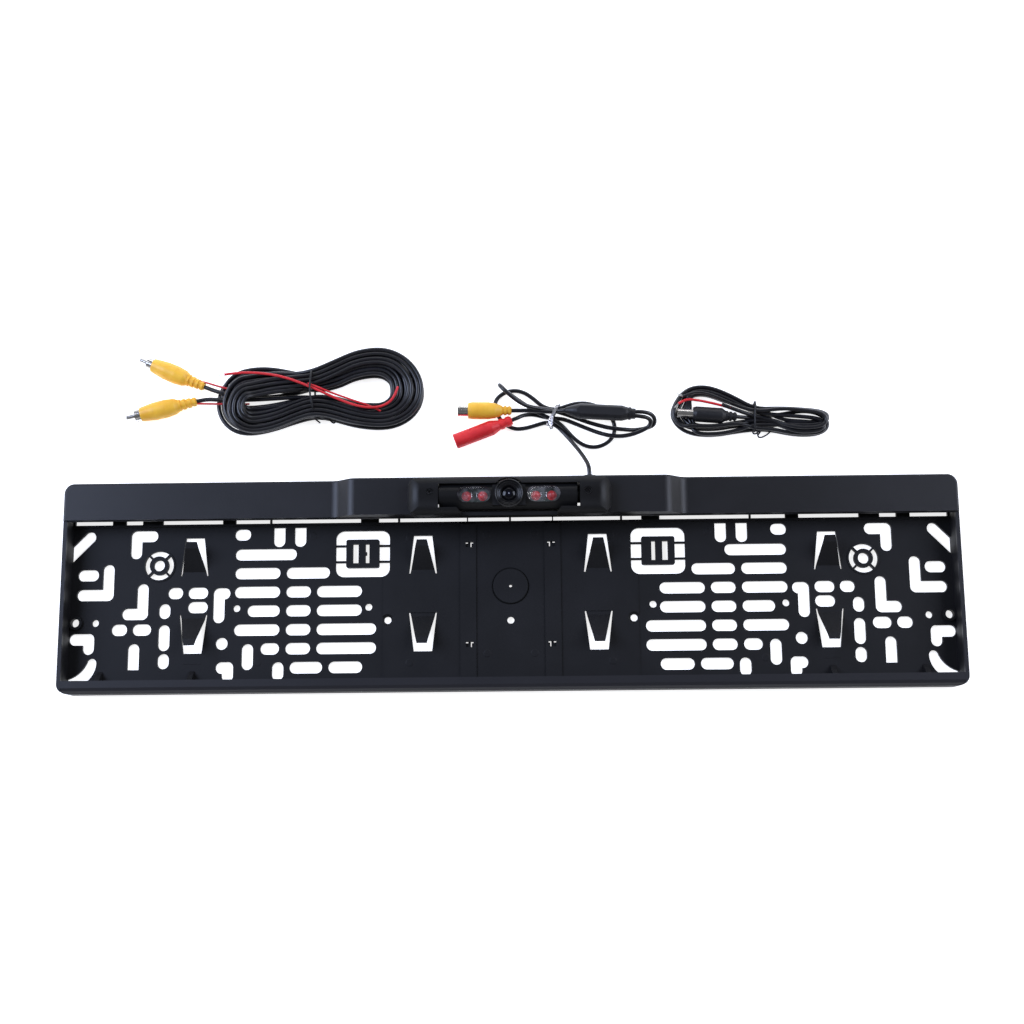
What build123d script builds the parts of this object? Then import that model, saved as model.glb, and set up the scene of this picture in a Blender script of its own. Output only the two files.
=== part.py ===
"""Licence plate holder with a backup camera in its top band, and its two loose cables.

Millimetres. The holder lies on its back: X runs along it, Y from its bottom lip to its top
band, Z from its back face to the front. The origin is under the middle of the holder.
"""

from build123d import *
import math
import os

os.makedirs("parts", exist_ok=True)

# ---- holder -----------------------------------------------------------------------------
FRAME_W = 530.0  # overall width
FRAME_H = 124.6  # overall height, lip to band
CORNER_R = 6.0  # outside corners
FLOOR_T = 2.4  # floor plate
WALL_T = 2.3  # side and bottom walls
RIM_Z = 15.6  # top of the walls and of the bottom lip
LIP_W = 7.6  # bottom lip, outside to inside edge
LIP_T = 2.0  # thickness of the bottom lip
SLOT_W = 6.9  # every slot of the floor
ROW_PITCH = 11.3  # rows of slots
TOP_ROW_Y = 20.6  # first row of slots
STEP_X = 76.0  # half width of the raised centre panel
STEP_H = 0.5  # how far it stands above the rest of the floor
RAIL_X = 25.2  # middle of each centre rail
RAIL_W = 9.6
RAIL_H = 1.2
DISC_R = 10.5  # drilling disc in the middle
TONGUE_L = 19.0  # spring tongue, root to tip, in plan
TONGUE_ROOT_W = 15.0
TONGUE_TIP_W = 6.0
TONGUE_RISE = 10.4  # tip above the floor
TONGUE_T = 1.6
TONGUE_GAP = 4.0  # free length beyond the tip
TONGUE_X = (52.2, 189.0)
TONGUE_ROOT_Y = (8.1, -15.3)

# ---- top cover ----------------------------------------------------------------------------
BAND_W = 22.3  # width of the band
COVER_T = 2.2  # skin of the cover
BAND_Z = 17.2  # front of the band
HUMP_Z = 25.0  # front of the hump
HUMP_HALF = 93.6  # half length of the hump at its front
HUMP_RAMP = 9.4  # run of each ramp
HUMP_R = 7.0  # rounding of the ramps
POCKET_DEPTH = 13.0  # how far a plate slides behind the band
HOOK_W = 6.0
HOOK_T = 1.8
HOOK_X = (84.2, 168.8, FRAME_W / 2 - 48.5, FRAME_W / 2 - 29.8)

# ---- camera housing -----------------------------------------------------------------------
HOUSING_HALF = 59.8  # half length
HOUSING_H = 22.4
HOUSING_DROP = 13.1  # middle of the housing below the holder's top edge
HOUSING_Z = 36.0  # its front
HOUSING_R = 7.5  # corners in front view
HOUSING_EDGE_R = 5.0  # long front edges
HOUSING_END_R = 8.0  # its two ends, rounded like a pillow
HOUSING_T = 2.0
HOUSING_END = 15.5  # solid end of the housing beyond each trunnion cheek
WINDOW_BELOW = 7.7  # the barrel window, from the tilt axis
WINDOW_ABOVE = 6.3
NOTCH_HALF = 30.4  # wide notch under the lens, at its top
NOTCH_SLOPE = 2.4  # how far each end of the notch slopes in
NOTCH_Z = 29.5
BASE_T = 1.8
SCREW_END = 13.8  # each screw from the end of the housing
SCREW_RISE = 1.5  # screws above the tilt axis
SCREW_R = 1.0
SCREW_HEAD_R = 1.9
SCREW_HEAD_T = 1.4
SCREW_SINK = 0.5  # the head sits this far under the front
SCREW_CLEAR = 0.15
SCREW_POST_R = 2.9  # post of the housing round each screw
SCREW_PILOT_R = 0.85  # the screw cuts its thread in a hole this size
SCREW_BOSS_R = 2.3
SCREW_BOSS_Z = 20.5  # lower end of the boss, clear above the inner lead

# ---- camera head --------------------------------------------------------------------------
AXIS_RISE = 0.4  # tilt axis above the middle of the housing
AXIS_Z = 27.3
BARREL_R = 8.4
BARREL_GAP_LEFT = 1.5  # from each end of the barrel to its cheek
BARREL_GAP_RIGHT = 2.6
BARREL_WALL = 1.4
SPLIT_Z = -3.0  # seam of barrel and back, from the axis
TRUNNION_R = 3.0
TRUNNION_CLEAR = 0.05
CHEEK_T = 2.0
BLOCK_HALF = 9.6  # flat block that carries the lens ring
BLOCK_LOW = 6.8
BLOCK_HIGH = 5.2
BLOCK_Z = 8.6
BEZEL_R = 8.4
BEZEL_FRONT = 10.4
LENS_HEAD_R = 6.3
LENS_THREAD_R = 4.0
GLASS_R = 4.7
LENS_NOTCH_R = 9.9  # round notch of the housing above the lens ring
LED_X = 20.2  # middle of each LED window
LED_WINDOW_L = 19.3
LED_WINDOW_H = 9.2
LED_PITCH = 9.4
LED_R = 2.5
FIT = 0.1  # general clearance between seated pieces

# ---- cables ---------------------------------------------------------------------------------
CABLE_D = 2.6
WIRE_D = 1.6
GROMMET_X = 47.6
GROMMET_Z = 18.8
DC_SOCKET_BODY_R = 4.6

# worked out from the sizes above
TOP_Y = FRAME_H / 2
LOW_Y = -FRAME_H / 2
HALF_W = FRAME_W / 2
BAND_Y = TOP_Y - BAND_W
SIDE_X = HALF_W - WALL_T
FLOOR_LOW_Y = LOW_Y + WALL_T
HUMP_FOOT = HUMP_HALF + HUMP_RAMP
HOUSING_Y = TOP_Y - HOUSING_DROP
AXIS_Y = HOUSING_Y + AXIS_RISE
CHEEK_X = HOUSING_HALF - CHEEK_T - HOUSING_END  # inner face of each cheek
WINDOW_HALF = CHEEK_X - 1.1
WINDOW_LOW_Y = AXIS_Y - WINDOW_BELOW
WINDOW_TOP_Y = AXIS_Y + WINDOW_ABOVE
BARREL_LEFT = BARREL_GAP_LEFT - CHEEK_X
BARREL_RIGHT = CHEEK_X - BARREL_GAP_RIGHT
SCREW_X = HOUSING_HALF - SCREW_END
SCREW_Y = AXIS_Y + SCREW_RISE
HOUSING_LOW = HOUSING_Y - HOUSING_H / 2
HOUSING_TOP = HOUSING_Y + HOUSING_H / 2
OPENING_HALF = CHEEK_X + CHEEK_T + 0.4
OPENING_LOW = AXIS_Y - BARREL_R - 0.5
OPENING_TOP = AXIS_Y + BARREL_R + 0.3
BASE_TOP = HUMP_Z + BASE_T
SCREW_TOP = HOUSING_Z - SCREW_SINK
SCREW_SEAT_Z = SCREW_TOP - SCREW_HEAD_T


def row_y(i):
    return TOP_ROW_Y - ROW_PITCH * i


def cylinder_x(r, x0, x1, y=0.0, z=0.0):
    """A round bar along X."""
    bar = Cylinder(r, x1 - x0, rotation=(0, 90, 0))
    return Pos((x0 + x1) / 2, y, z) * bar


def cylinder_y(r, y0, y1, x=0.0, z=0.0):
    """A round bar along Y."""
    bar = Cylinder(r, y1 - y0, rotation=(90, 0, 0))
    return Pos(x, (y0 + y1) / 2, z) * bar


def cylinder_z(r, z0, z1, x=0.0, y=0.0):
    """A round bar along Z."""
    return Pos(x, y, (z0 + z1) / 2) * Cylinder(r, z1 - z0)


def block(x0, x1, y0, y1, z0, z1):
    """A box between two corners."""
    mid = Pos((x0 + x1) / 2, (y0 + y1) / 2, (z0 + z1) / 2)
    return mid * Box(x1 - x0, y1 - y0, z1 - z0)


def prism(face, z0, z1):
    """A flat face of the XY plane as a solid from z0 to z1."""
    return Pos(0, 0, (z0 + z1) / 2) * extrude(face, (z1 - z0) / 2, both=True)


def slot_h(x0, x1, y):
    """A slot along X with round ends."""
    return Pos((x0 + x1) / 2, y) * SlotOverall(x1 - x0, SLOT_W)


def slot_v(x, y0, y1):
    """A slot along Y with round ends."""
    return Pos(x, (y0 + y1) / 2) * SlotOverall(y1 - y0, SLOT_W, rotation=90)


def slot_between(x0, y0, x1, y1):
    """A slot between the middles of its two round ends."""
    length = math.hypot(x1 - x0, y1 - y0) + SLOT_W
    turn = math.degrees(math.atan2(y1 - y0, x1 - x0))
    return Pos((x0 + x1) / 2, (y0 + y1) / 2) * SlotOverall(length, SLOT_W, rotation=turn)


def rect(x0, x1, y0, y1):
    """A rectangle between two corners."""
    return Pos((x0 + x1) / 2, (y0 + y1) / 2) * Rectangle(x1 - x0, y1 - y0)


def mirrored(shape):
    """The shape and its mirror image across the middle of the holder."""
    return shape + mirror(shape, about=Plane.YZ)


# ---- plate holder ---------------------------------------------------------------------------
ROW_SLOTS = (  # one line per row: inner and outer end of each slot, from the middle
    ((127.9, 164.7),),
    ((107.9, 133.9), (137.5, 164.7)),
    ((88.6, 115.6), (119.1, 133.9), (137.5, 164.7)),
    ((88.6, 115.6), (119.1, 133.9), (137.5, 156.9)),
    ((80.0, 115.6), (119.1, 133.9), (137.5, 164.7)),
    ((80.0, 115.6), (119.1, 133.9), (137.5, 148.7)),
    ((88.1, 108.2), (111.8, 131.2)),
)
SHORT_SLOTS = (  # inner end, outer end, height
    (155.6, 165.2, 32.7),
    (180.5, 192.5, -2.2),
    (180.5, 192.5, -10.8),
    (SIDE_X - 34.5, SIDE_X - 25.0, -23.9),
    (SIDE_X - 48.8, SIDE_X - 37.5, -23.9),
    (SIDE_X - 67.2, SIDE_X - 58.2, -2.2),
    (SIDE_X - 16.4, SIDE_X - 3.8, 9.0),
)
UPRIGHT_SLOTS = (  # distance from the middle, lower end, upper end
    (156.3, -48.3, -32.9),
    (173.9, -20.3, 0.7),
    (SIDE_X - 56.5, -17.5, -8.5),
    (SIDE_X - 56.5, -36.6, -21.1),
    (SIDE_X - 56.5, -47.3, -38.3),
    (SIDE_X - 22.2, -6.3, 15.5),
    (SIDE_X - 43.1, -17.9, 3.7),
    (SIDE_X - 38.3, 18.7, 35.8),
    (SIDE_X - 11.7, -38.4, -25.9),
)
CORNER_LEGS = (  # level legs of the angled slots: inner end, outer end, height
    (167.2, 177.3, -2.7),
    (SIDE_X - 25.6, SIDE_X - 3.6, -2.9),
    (SIDE_X - 46.5, SIDE_X - 30.9, -14.5),
    (SIDE_X - 51.2, SIDE_X - 34.9, 32.4),
    (SIDE_X - 15.1, SIDE_X, -29.4),
)
HOLES = (  # distance from the middle, height, radius
    (163.2, -11.7, 2.1),
    (84.5, -11.7, 2.1),
    (171.7, -32.6, 3.6),
    (SIDE_X - 15.4, -19.7, 2.1),
)
FLAT_SLOT = (SIDE_X - 38.7, -47.7, -32.2)  # upright slot with a flat lower end
LIP_SLOT = (138.1, -54.6, -43.8)  # upright slot close to the lip
NOTCH_SLOTS = (125.8, 138.4)  # upright slots with a flat upper end
NOTCH_SLOT_Y = (25.1, 36.8)
CORNER_SLOT = ((SIDE_X - 10.3, 32.0), (SIDE_X + 5.3, 16.0))  # sloping slot at the top corner
BOSS_X = SIDE_X - 3.7
BOSS_Y = -19.6
BOSS_R = 4.1
BOSS_HOLE_R = 2.5
BOSS_TOP = 4.2
SINK_X = 73.1
SINK_Y = -19.6
SINK_HOLE_R = 2.1
SINK_HEAD_R = 3.6
CENTRE_HOLE_Y = -20.4
RING_X = SIDE_X - 52.5
RING_Y = 14.5
RING_HOLE_R = 3.3
RING_IN_R = 5.7
RING_OUT_R = 8.7
RING_RIM_W = 1.0  # raised rim round the drilling ring
RING_RIM_H = 0.5
SPOKE_W = 1.2
TOP_SLITS = (  # openings just under the band: inner and outer end
    (0.6, 25.2),
    (25.9, 66.1),
    (67.3, 78.8),
    (89.6, 143.2),
    (144.3, 164.9),
    (172.7, SIDE_X - 53.8),
    (SIDE_X - 41.7, SIDE_X - 31.5),
    (SIDE_X - 23.5, SIDE_X - 1.0),
)
SLIT_LOW = BAND_Y - 1.4
SLIT_HIGH = BAND_Y + 4.5
CLIP_X = 88.2
CLIP_Y = 20.4
CLIP_W = 32.3
CLIP_H = 27.9
CLIP_R = 5.0
CLIP_BLOCK_W = 19.8
CLIP_BLOCK_H = 17.0
CLIP_BLOCK_R = 1.2
CLIP_SLIT_H = 11.6
NECK_W = 1.3
NECK_Y = 4.8
CABLE_DOOR_HALF = 50.0
CABLE_DOOR_LOW = TOP_Y - 16.3
CABLE_DOOR_TOP = TOP_Y - 6.3
LUG_X = (188.9, SIDE_X - 19.3)  # gussets at the bottom lip
LUG_W = 3.0
LUG_H = 7.0
LUG_RUN = 6.0  # how far a gusset reaches beyond the lip


HEART_X = 167.9
HEART_LOW_Y = -55.2
HEART_TOP_Y = -43.4
HEART_LOBE_X = 3.7  # side lobe, from the upright one
HEART_LOBE_Y = -46.9


def heart_hole():
    """A key hole at the bottom lip: an upright slot with a lobe on its outer side."""
    r = SLOT_W / 2
    lobe = Pos(HEART_X + HEART_LOBE_X, HEART_LOBE_Y) * Circle(r)
    bridge = rect(HEART_X, HEART_X + HEART_LOBE_X, HEART_LOBE_Y, HEART_TOP_Y - 0.1)
    return slot_v(HEART_X, HEART_LOW_Y, HEART_TOP_Y) + lobe + bridge


def curved_slot():
    """A slot that curves from a round upper end to a point along the bottom lip."""
    low = LOW_Y + LIP_W - 0.4
    x = SIDE_X - 11.1  # inner edge of the upper end
    upper = ThreePointArc((x - 5.9, -43.6), (x - 2.9, -40.7), (x, -43.4))
    outer = ThreePointArc((x, -43.4), (x + 4.2, -49.2), (x + 10.9, -53.0))
    point = Polyline((x + 10.9, -53.0), (x + 10.9, low), (x + 0.6, low))
    inner = ThreePointArc((x + 0.6, low), (x - 4.3, -49.6), (x - 5.9, -43.6))
    return make_face(Curve() + [upper, outer, point, inner])


def ring_slots():
    """Four arcs round the drilling ring, left apart by four spokes."""
    ring = Circle(RING_OUT_R) - Circle(RING_IN_R)
    spokes = Rectangle(2 * RING_OUT_R, SPOKE_W) + Rectangle(SPOKE_W, 2 * RING_OUT_R)
    return Pos(RING_X, RING_Y) * (ring - Rot(0, 0, 45) * spokes + Circle(RING_HOLE_R))


def half_openings():
    """Every opening of the floor on the right half, as flat faces."""
    faces = []
    for i, row in enumerate(ROW_SLOTS):
        faces += [slot_h(x0, x1, row_y(i)) for x0, x1 in row]
    faces += [slot_h(*s) for s in SHORT_SLOTS + CORNER_LEGS]
    faces += [slot_v(*s) for s in UPRIGHT_SLOTS + (FLAT_SLOT, LIP_SLOT)]
    faces += [Pos(x, y) * Circle(r) for x, y, r in HOLES]
    faces.append(Pos(BOSS_X, BOSS_Y) * Circle(BOSS_HOLE_R))
    faces.append(Pos(SINK_X, SINK_Y) * Circle(SINK_HOLE_R))
    half = SLOT_W / 2
    for x in NOTCH_SLOTS:
        low, top = NOTCH_SLOT_Y
        faces.append(slot_v(x, low, top) + rect(x - half, x + half, low + half, top))
    x, low, top = FLAT_SLOT
    faces.append(rect(x - half, x + half, low, top - half))
    corner = slot_between(*CORNER_SLOT[0], *CORNER_SLOT[1])
    faces.append(corner & rect(BOSS_X - 30, SIDE_X, 0, BAND_Y))
    faces += [ring_slots(), heart_hole(), curved_slot()]
    faces += [rect(x0, x1, SLIT_LOW, SLIT_HIGH) for x0, x1 in TOP_SLITS]
    window = Pos(CLIP_X, CLIP_Y) * RectangleRounded(CLIP_W, CLIP_H, CLIP_R)
    faces.append(window)
    for x in TONGUE_X:
        for y, way in zip(TONGUE_ROOT_Y, (1, -1)):
            faces.append(tongue_window(x, y, way))
    return faces


def tongue_window(x, y, way):
    """The opening round a spring tongue."""
    near, far = TONGUE_ROOT_W / 2 + 0.8, TONGUE_TIP_W / 2 + 2.5
    end = y + way * (TONGUE_L + TONGUE_GAP)
    return Polygon((x - near, y), (x + near, y), (x + far, end), (x - far, end), align=None)


def tongue(x, y, way):
    """A spring tongue that rises from its root to its tip."""
    low = FLOOR_T - TONGUE_T
    top = FLOOR_T + TONGUE_RISE
    side = Polygon(
        (0, low), (3.0, low), (TONGUE_L - 3.2, top - TONGUE_T - 0.9), (TONGUE_L, top - TONGUE_T),
        (TONGUE_L, top), (TONGUE_L - 3.8, top - 0.9), (2.2, FLOOR_T), (0, FLOOR_T), align=None)
    strip = extrude(Plane.YZ * side, TONGUE_ROOT_W / 2, both=True)
    near, far = TONGUE_ROOT_W / 2, TONGUE_TIP_W / 2
    plan = Polygon((-near, 0), (near, 0), (far, TONGUE_L), (-far, TONGUE_L), align=None)
    strip = strip & prism(plan, 0, top + 1)
    return Pos(x, y, 0) * (strip if way > 0 else Rot(0, 0, 180) * strip)


def lip_and_walls():
    """Bottom wall with its lip, and the two side walls up to the band."""
    lip = Polygon(
        (LOW_Y, 0), (LOW_Y, RIM_Z - 2.4), (LOW_Y + 1.6, RIM_Z - 0.7), (LOW_Y + 3.4, RIM_Z),
        (LOW_Y + LIP_W, RIM_Z), (LOW_Y + LIP_W, RIM_Z - LIP_T),
        (FLOOR_LOW_Y, RIM_Z - LIP_T), (FLOOR_LOW_Y, 0), align=None)
    low_wall = extrude(Plane.YZ * lip, HALF_W, both=True)
    side = block(SIDE_X, HALF_W, LOW_Y, BAND_Y, 0, RIM_Z)
    outline = RectangleRounded(FRAME_W, FRAME_H, CORNER_R)
    return (low_wall + mirrored(side)) & prism(outline, 0, RIM_Z)


def gusset(x):
    """A small sloping rib between the floor and the bottom wall."""
    lip = LOW_Y + LIP_W
    side = Polygon((FLOOR_LOW_Y, FLOOR_T), (lip + LUG_RUN, FLOOR_T), (lip, FLOOR_T + LUG_H),
                   (FLOOR_LOW_Y, FLOOR_T + LUG_H), align=None)
    return Pos(x, 0, 0) * extrude(Plane.YZ * side, LUG_W / 2, both=True)


def plate_holder():
    """The moulded tray: floor with its openings, walls, rails, tongues and bosses."""
    outline = RectangleRounded(FRAME_W, FRAME_H, CORNER_R)
    body = prism(outline, 0, FLOOR_T) + lip_and_walls()
    panel = block(-STEP_X, STEP_X, FLOOR_LOW_Y, BAND_Y - 1.2, FLOOR_T, FLOOR_T + STEP_H)
    rail = block(RAIL_X - RAIL_W / 2, RAIL_X + RAIL_W / 2, FLOOR_LOW_Y, BAND_Y - 1.2,
                 FLOOR_T, FLOOR_T + RAIL_H)
    disc = cylinder_z(DISC_R, FLOOR_T, FLOOR_T + RAIL_H)
    boss = cylinder_z(BOSS_R, FLOOR_T, BOSS_TOP, BOSS_X, BOSS_Y)
    boss = boss & block(0, SIDE_X, LOW_Y, TOP_Y, 0, RIM_Z)
    rim = cylinder_z(RING_OUT_R + RING_RIM_W, FLOOR_T, FLOOR_T + RING_RIM_H, RING_X, RING_Y)
    body = body + panel + mirrored(rail) + disc + mirrored(boss) + mirrored(rim)
    for x in LUG_X:
        body = body + mirrored(gusset(x))
    openings = Sketch() + half_openings()
    cut = prism(openings, -1, BOSS_TOP + 1)
    keep = block(-HALF_W, HALF_W, LOW_Y, FLOOR_LOW_Y, -1, RIM_Z)
    body = body - mirrored(cut - keep)
    sink = Pos(SINK_X, SINK_Y, FLOOR_T + STEP_H) * Cone(
        SINK_HOLE_R, SINK_HEAD_R, SINK_HEAD_R - SINK_HOLE_R,
        align=(Align.CENTER, Align.CENTER, Align.MAX))
    pilot = cylinder_z(0.9, -1, 6) + cylinder_z(BOSS_HOLE_R - 0.4, -1, 6, 0, CENTRE_HOLE_Y)
    rail_hole = [block(RAIL_X - 3.0, RAIL_X + 1.5, y - 1.6, y + 1.6, -1, 5) for y in (25.2, -34.6)]
    body = body - mirrored(sink) - pilot - mirrored(rail_hole[0]) - mirrored(rail_hole[1])
    for x in HOOK_X:
        body = body - mirrored(hook_socket(x))
    body = body - block(-CABLE_DOOR_HALF, CABLE_DOOR_HALF, CABLE_DOOR_LOW, CABLE_DOOR_TOP, -1, 4)
    for x in TONGUE_X:
        for y, way in zip(TONGUE_ROOT_Y, (1, -1)):
            body = body + mirrored(tongue(x, y, way))
    return body


HOOK_Y = BAND_Y + POCKET_DEPTH + 1.5


def hook_socket(x):
    """A stepped hole of the floor that a cover hook snaps into from the front."""
    wide = HOOK_W / 2 + 0.3
    upper = block(x - wide, x + wide, HOOK_Y - 0.2, HOOK_Y + HOOK_T + 0.3, -1, FLOOR_T + 1)
    lower = block(x - wide, x + wide, HOOK_Y - 0.2, HOOK_Y + HOOK_T + 1.3, -1, 1.3)
    return upper + lower


# ---- top cover --------------------------------------------------------------------------------
def band_profile(inset):
    """Front line of the band and its hump, as an X-Z face; inset moves it inward."""
    w, z0, z1 = HALF_W - inset, BAND_Z - inset, HUMP_Z - inset
    slope = inset * 0.42
    foot, top = HUMP_FOOT - slope, HUMP_HALF - slope
    points = [(-w, FLOOR_T), (-w, z0), (-foot, z0), (-top, z1), (top, z1), (foot, z0), (w, z0),
              (w, FLOOR_T)]
    face = Polygon(*points, align=None)
    convex = [v for v in face.vertices() if abs(abs(v.X) - top) < 0.01]
    face = fillet(convex, HUMP_R - inset)
    concave = [v for v in face.vertices() if abs(abs(v.X) - foot) < 0.01]
    return fillet(concave, HUMP_R + inset)


def band_solid(inset, y0, y1):
    """The band's profile as a bar from y0 to y1."""
    bar = extrude(Plane.XZ * band_profile(inset), (y1 - y0) / 2, both=True)
    return Pos(0, (y0 + y1) / 2, 0) * bar


def cover_hook(x):
    """A snap hook that hangs from the band into the floor."""
    top = (HUMP_Z if x < HUMP_HALF else BAND_Z) - COVER_T
    post = block(x - HOOK_W / 2, x + HOOK_W / 2, HOOK_Y, HOOK_Y + HOOK_T, 0.2, top)
    barb = block(x - HOOK_W / 2, x + HOOK_W / 2, HOOK_Y, HOOK_Y + HOOK_T + 0.9, 0.2, 1.2)
    return post + barb


def top_cover():
    """The band that hides the plate's top edge, with the hump for the camera."""
    outline = RectangleRounded(FRAME_W, FRAME_H, CORNER_R)
    skin = band_solid(0, BAND_Y, TOP_Y) & prism(outline, 0, HUMP_Z + 1)
    inner = RectangleRounded(FRAME_W - 2 * COVER_T, FRAME_H - 2 * COVER_T, CORNER_R - COVER_T)
    room = band_solid(COVER_T, BAND_Y - 1, TOP_Y - COVER_T) & prism(inner, 0, HUMP_Z + 1)
    mouth = block(COVER_T - HALF_W, HALF_W - COVER_T, BAND_Y - 1, BAND_Y + 5, FLOOR_T, 10)
    room = room + mouth
    low_wall = band_solid(0, BAND_Y, BAND_Y + 1.6)
    low_wall = low_wall & block(-HUMP_FOOT, HUMP_FOOT, 0, TOP_Y, BAND_Z - COVER_T, HUMP_Z)
    shell = skin - room + low_wall
    top_edge = shell.edges().filter_by(
        lambda e: abs(e.center().Y - TOP_Y) < 0.01 and e.center().Z > BAND_Z - 0.1)
    shell = fillet(top_edge, 1.4)
    opening = block(-OPENING_HALF, OPENING_HALF, OPENING_LOW, OPENING_TOP, 14, HUMP_Z + 1)
    shell = shell - opening
    shell = shell - cylinder_y(3.0, TOP_Y - 5, TOP_Y + 1, GROMMET_X, GROMMET_Z)
    for x in (-SCREW_X, SCREW_X):
        shell = shell + cylinder_z(SCREW_BOSS_R, SCREW_BOSS_Z, HUMP_Z - COVER_T, x, SCREW_Y)
        shell = shell - cylinder_z(SCREW_PILOT_R, SCREW_BOSS_Z - 1, HUMP_Z + 1, x, SCREW_Y)
    for x in HOOK_X:
        shell = shell + mirrored(cover_hook(x))
    return shell


# ---- break-off clips ----------------------------------------------------------------------------
def breakoff_clip(side):
    """A spare clip held in its window by four thin necks."""
    x = side * CLIP_X
    plan = Pos(x, CLIP_Y) * RectangleRounded(CLIP_BLOCK_W, CLIP_BLOCK_H, CLIP_BLOCK_R)
    slits = Pos(x - 2.8 * side, CLIP_Y) * Rectangle(2.4, CLIP_SLIT_H)
    slits = slits + Pos(x + 4.2 * side, CLIP_Y) * Rectangle(3.4, CLIP_SLIT_H)
    body = prism(plan - slits, 0, FLOOR_T + 1.2)
    rib = block(x - 8.6, x + 8.6, CLIP_Y - 0.9, CLIP_Y + 0.9, 0, FLOOR_T + 1.2)
    tongue_rib = rib & block(x - 1.4, x + 2.4, 0, 40, 0, 9)
    body = body + tongue_rib
    for y in (CLIP_Y - NECK_Y, CLIP_Y + NECK_Y):
        neck = block(x - CLIP_W / 2, x + CLIP_W / 2, y - NECK_W / 2, y + NECK_W / 2, 0.4, 1.8)
        body = body + (neck - block(x - 9.0, x + 9.0, y - 2, y + 2, 0, 9))
    return body


# ---- camera housing ------------------------------------------------------------------------------
def housing_face(inset=0.0):
    """Front view of the housing."""
    shape = RectangleRounded(2 * (HOUSING_HALF - inset), HOUSING_H - 2 * inset, HOUSING_R - inset)
    return Pos(0, HOUSING_Y) * shape


def rounded_bar(plane, low, high, z0, z1, r, length):
    """A bar across the plane whose two upper edges are rounded."""
    face = Polygon((low, z0), (high, z0), (high, z1), (low, z1), align=None)
    face = fillet([v for v in face.vertices() if v.Y > z1 - 0.1], r)
    return extrude(plane * face, length / 2, both=True)


def pillow(inset, z0):
    """The housing's outer form, or its hollow when inset, from z0 to the front."""
    half, top = HOUSING_HALF - inset, HOUSING_Z - inset
    low, high = HOUSING_LOW + inset, HOUSING_TOP - inset
    along = rounded_bar(Plane.XZ, -half, half, z0, top, HOUSING_END_R - inset, high - low)
    across = rounded_bar(Plane.YZ, low, high, z0, top, HOUSING_EDGE_R - inset, 2 * half)
    return (Pos(0, HOUSING_Y, 0) * along) & across & prism(housing_face(inset), z0, top)


def camera_housing():
    """Front shell with the barrel window, lens notch and trunnion cheeks."""
    shell = pillow(0, HUMP_Z) - pillow(HOUSING_T, HUMP_Z - 1)
    inside = pillow(HOUSING_T / 2, BASE_TOP)
    for side in (-1, 1):
        x0, x1 = sorted((side * CHEEK_X, side * (CHEEK_X + CHEEK_T)))
        cheek = block(x0, x1, HOUSING_LOW + 1, HOUSING_TOP - 1, BASE_TOP, HOUSING_Z - 1)
        post = cylinder_z(SCREW_POST_R, BASE_TOP, HOUSING_Z - 1, side * SCREW_X, SCREW_Y)
        shell = shell + ((cheek + post) & inside)
    r = TRUNNION_R + TRUNNION_CLEAR
    cheek_end = CHEEK_X + CHEEK_T
    shell = shell - cylinder_x(r, -cheek_end, cheek_end, AXIS_Y, AXIS_Z)
    shell = shell - block(-cheek_end, cheek_end, AXIS_Y - r, AXIS_Y + r, HUMP_Z, AXIS_Z)
    window = block(-WINDOW_HALF, WINDOW_HALF, WINDOW_LOW_Y, WINDOW_TOP_Y, 30, HOUSING_Z + 1)
    notch_low = NOTCH_HALF - NOTCH_SLOPE
    notch = prism(Polygon(
        (-notch_low, HOUSING_LOW - 1), (notch_low, HOUSING_LOW - 1), (notch_low, HOUSING_LOW + 1),
        (NOTCH_HALF, WINDOW_LOW_Y), (NOTCH_HALF, WINDOW_LOW_Y + 1), (-NOTCH_HALF, WINDOW_LOW_Y + 1),
        (-NOTCH_HALF, WINDOW_LOW_Y), (-notch_low, HOUSING_LOW + 1), align=None), NOTCH_Z, 40)
    shell = shell - window - notch - cylinder_z(LENS_NOTCH_R, 30.5, 40, 0, AXIS_Y)
    for x in (-SCREW_X, SCREW_X):
        shell = shell - cylinder_z(SCREW_R + SCREW_CLEAR, 20, 40, x, SCREW_Y)
        shell = shell - cylinder_z(SCREW_HEAD_R + SCREW_CLEAR, SCREW_SEAT_Z, 40, x, SCREW_Y)
    return shell


def housing_base():
    """Base plate in the housing's rim, with the lower half of the trunnion seats."""
    base = prism(housing_face(HOUSING_T + FIT), HUMP_Z, BASE_TOP)
    opening = block(-CHEEK_X, CHEEK_X, OPENING_LOW, OPENING_TOP, 20, 30)
    base = base - opening
    r = TRUNNION_R + TRUNNION_CLEAR
    for side in (-1, 1):
        x0, x1 = sorted((side * CHEEK_X, side * (CHEEK_X + CHEEK_T)))
        leg = block(x0, x1, AXIS_Y - r + FIT, AXIS_Y + r - FIT, HUMP_Z, AXIS_Z - FIT)
        foot = block(x0, x1, OPENING_LOW + FIT, OPENING_TOP - FIT, HUMP_Z - COVER_T, BASE_TOP)
        base = base + leg + foot
        base = base - cylinder_z(SCREW_R + SCREW_CLEAR, 20, 40, side * SCREW_X, SCREW_Y)
    return base - cylinder_x(r, -HOUSING_HALF, HOUSING_HALF, AXIS_Y, AXIS_Z)


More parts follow.
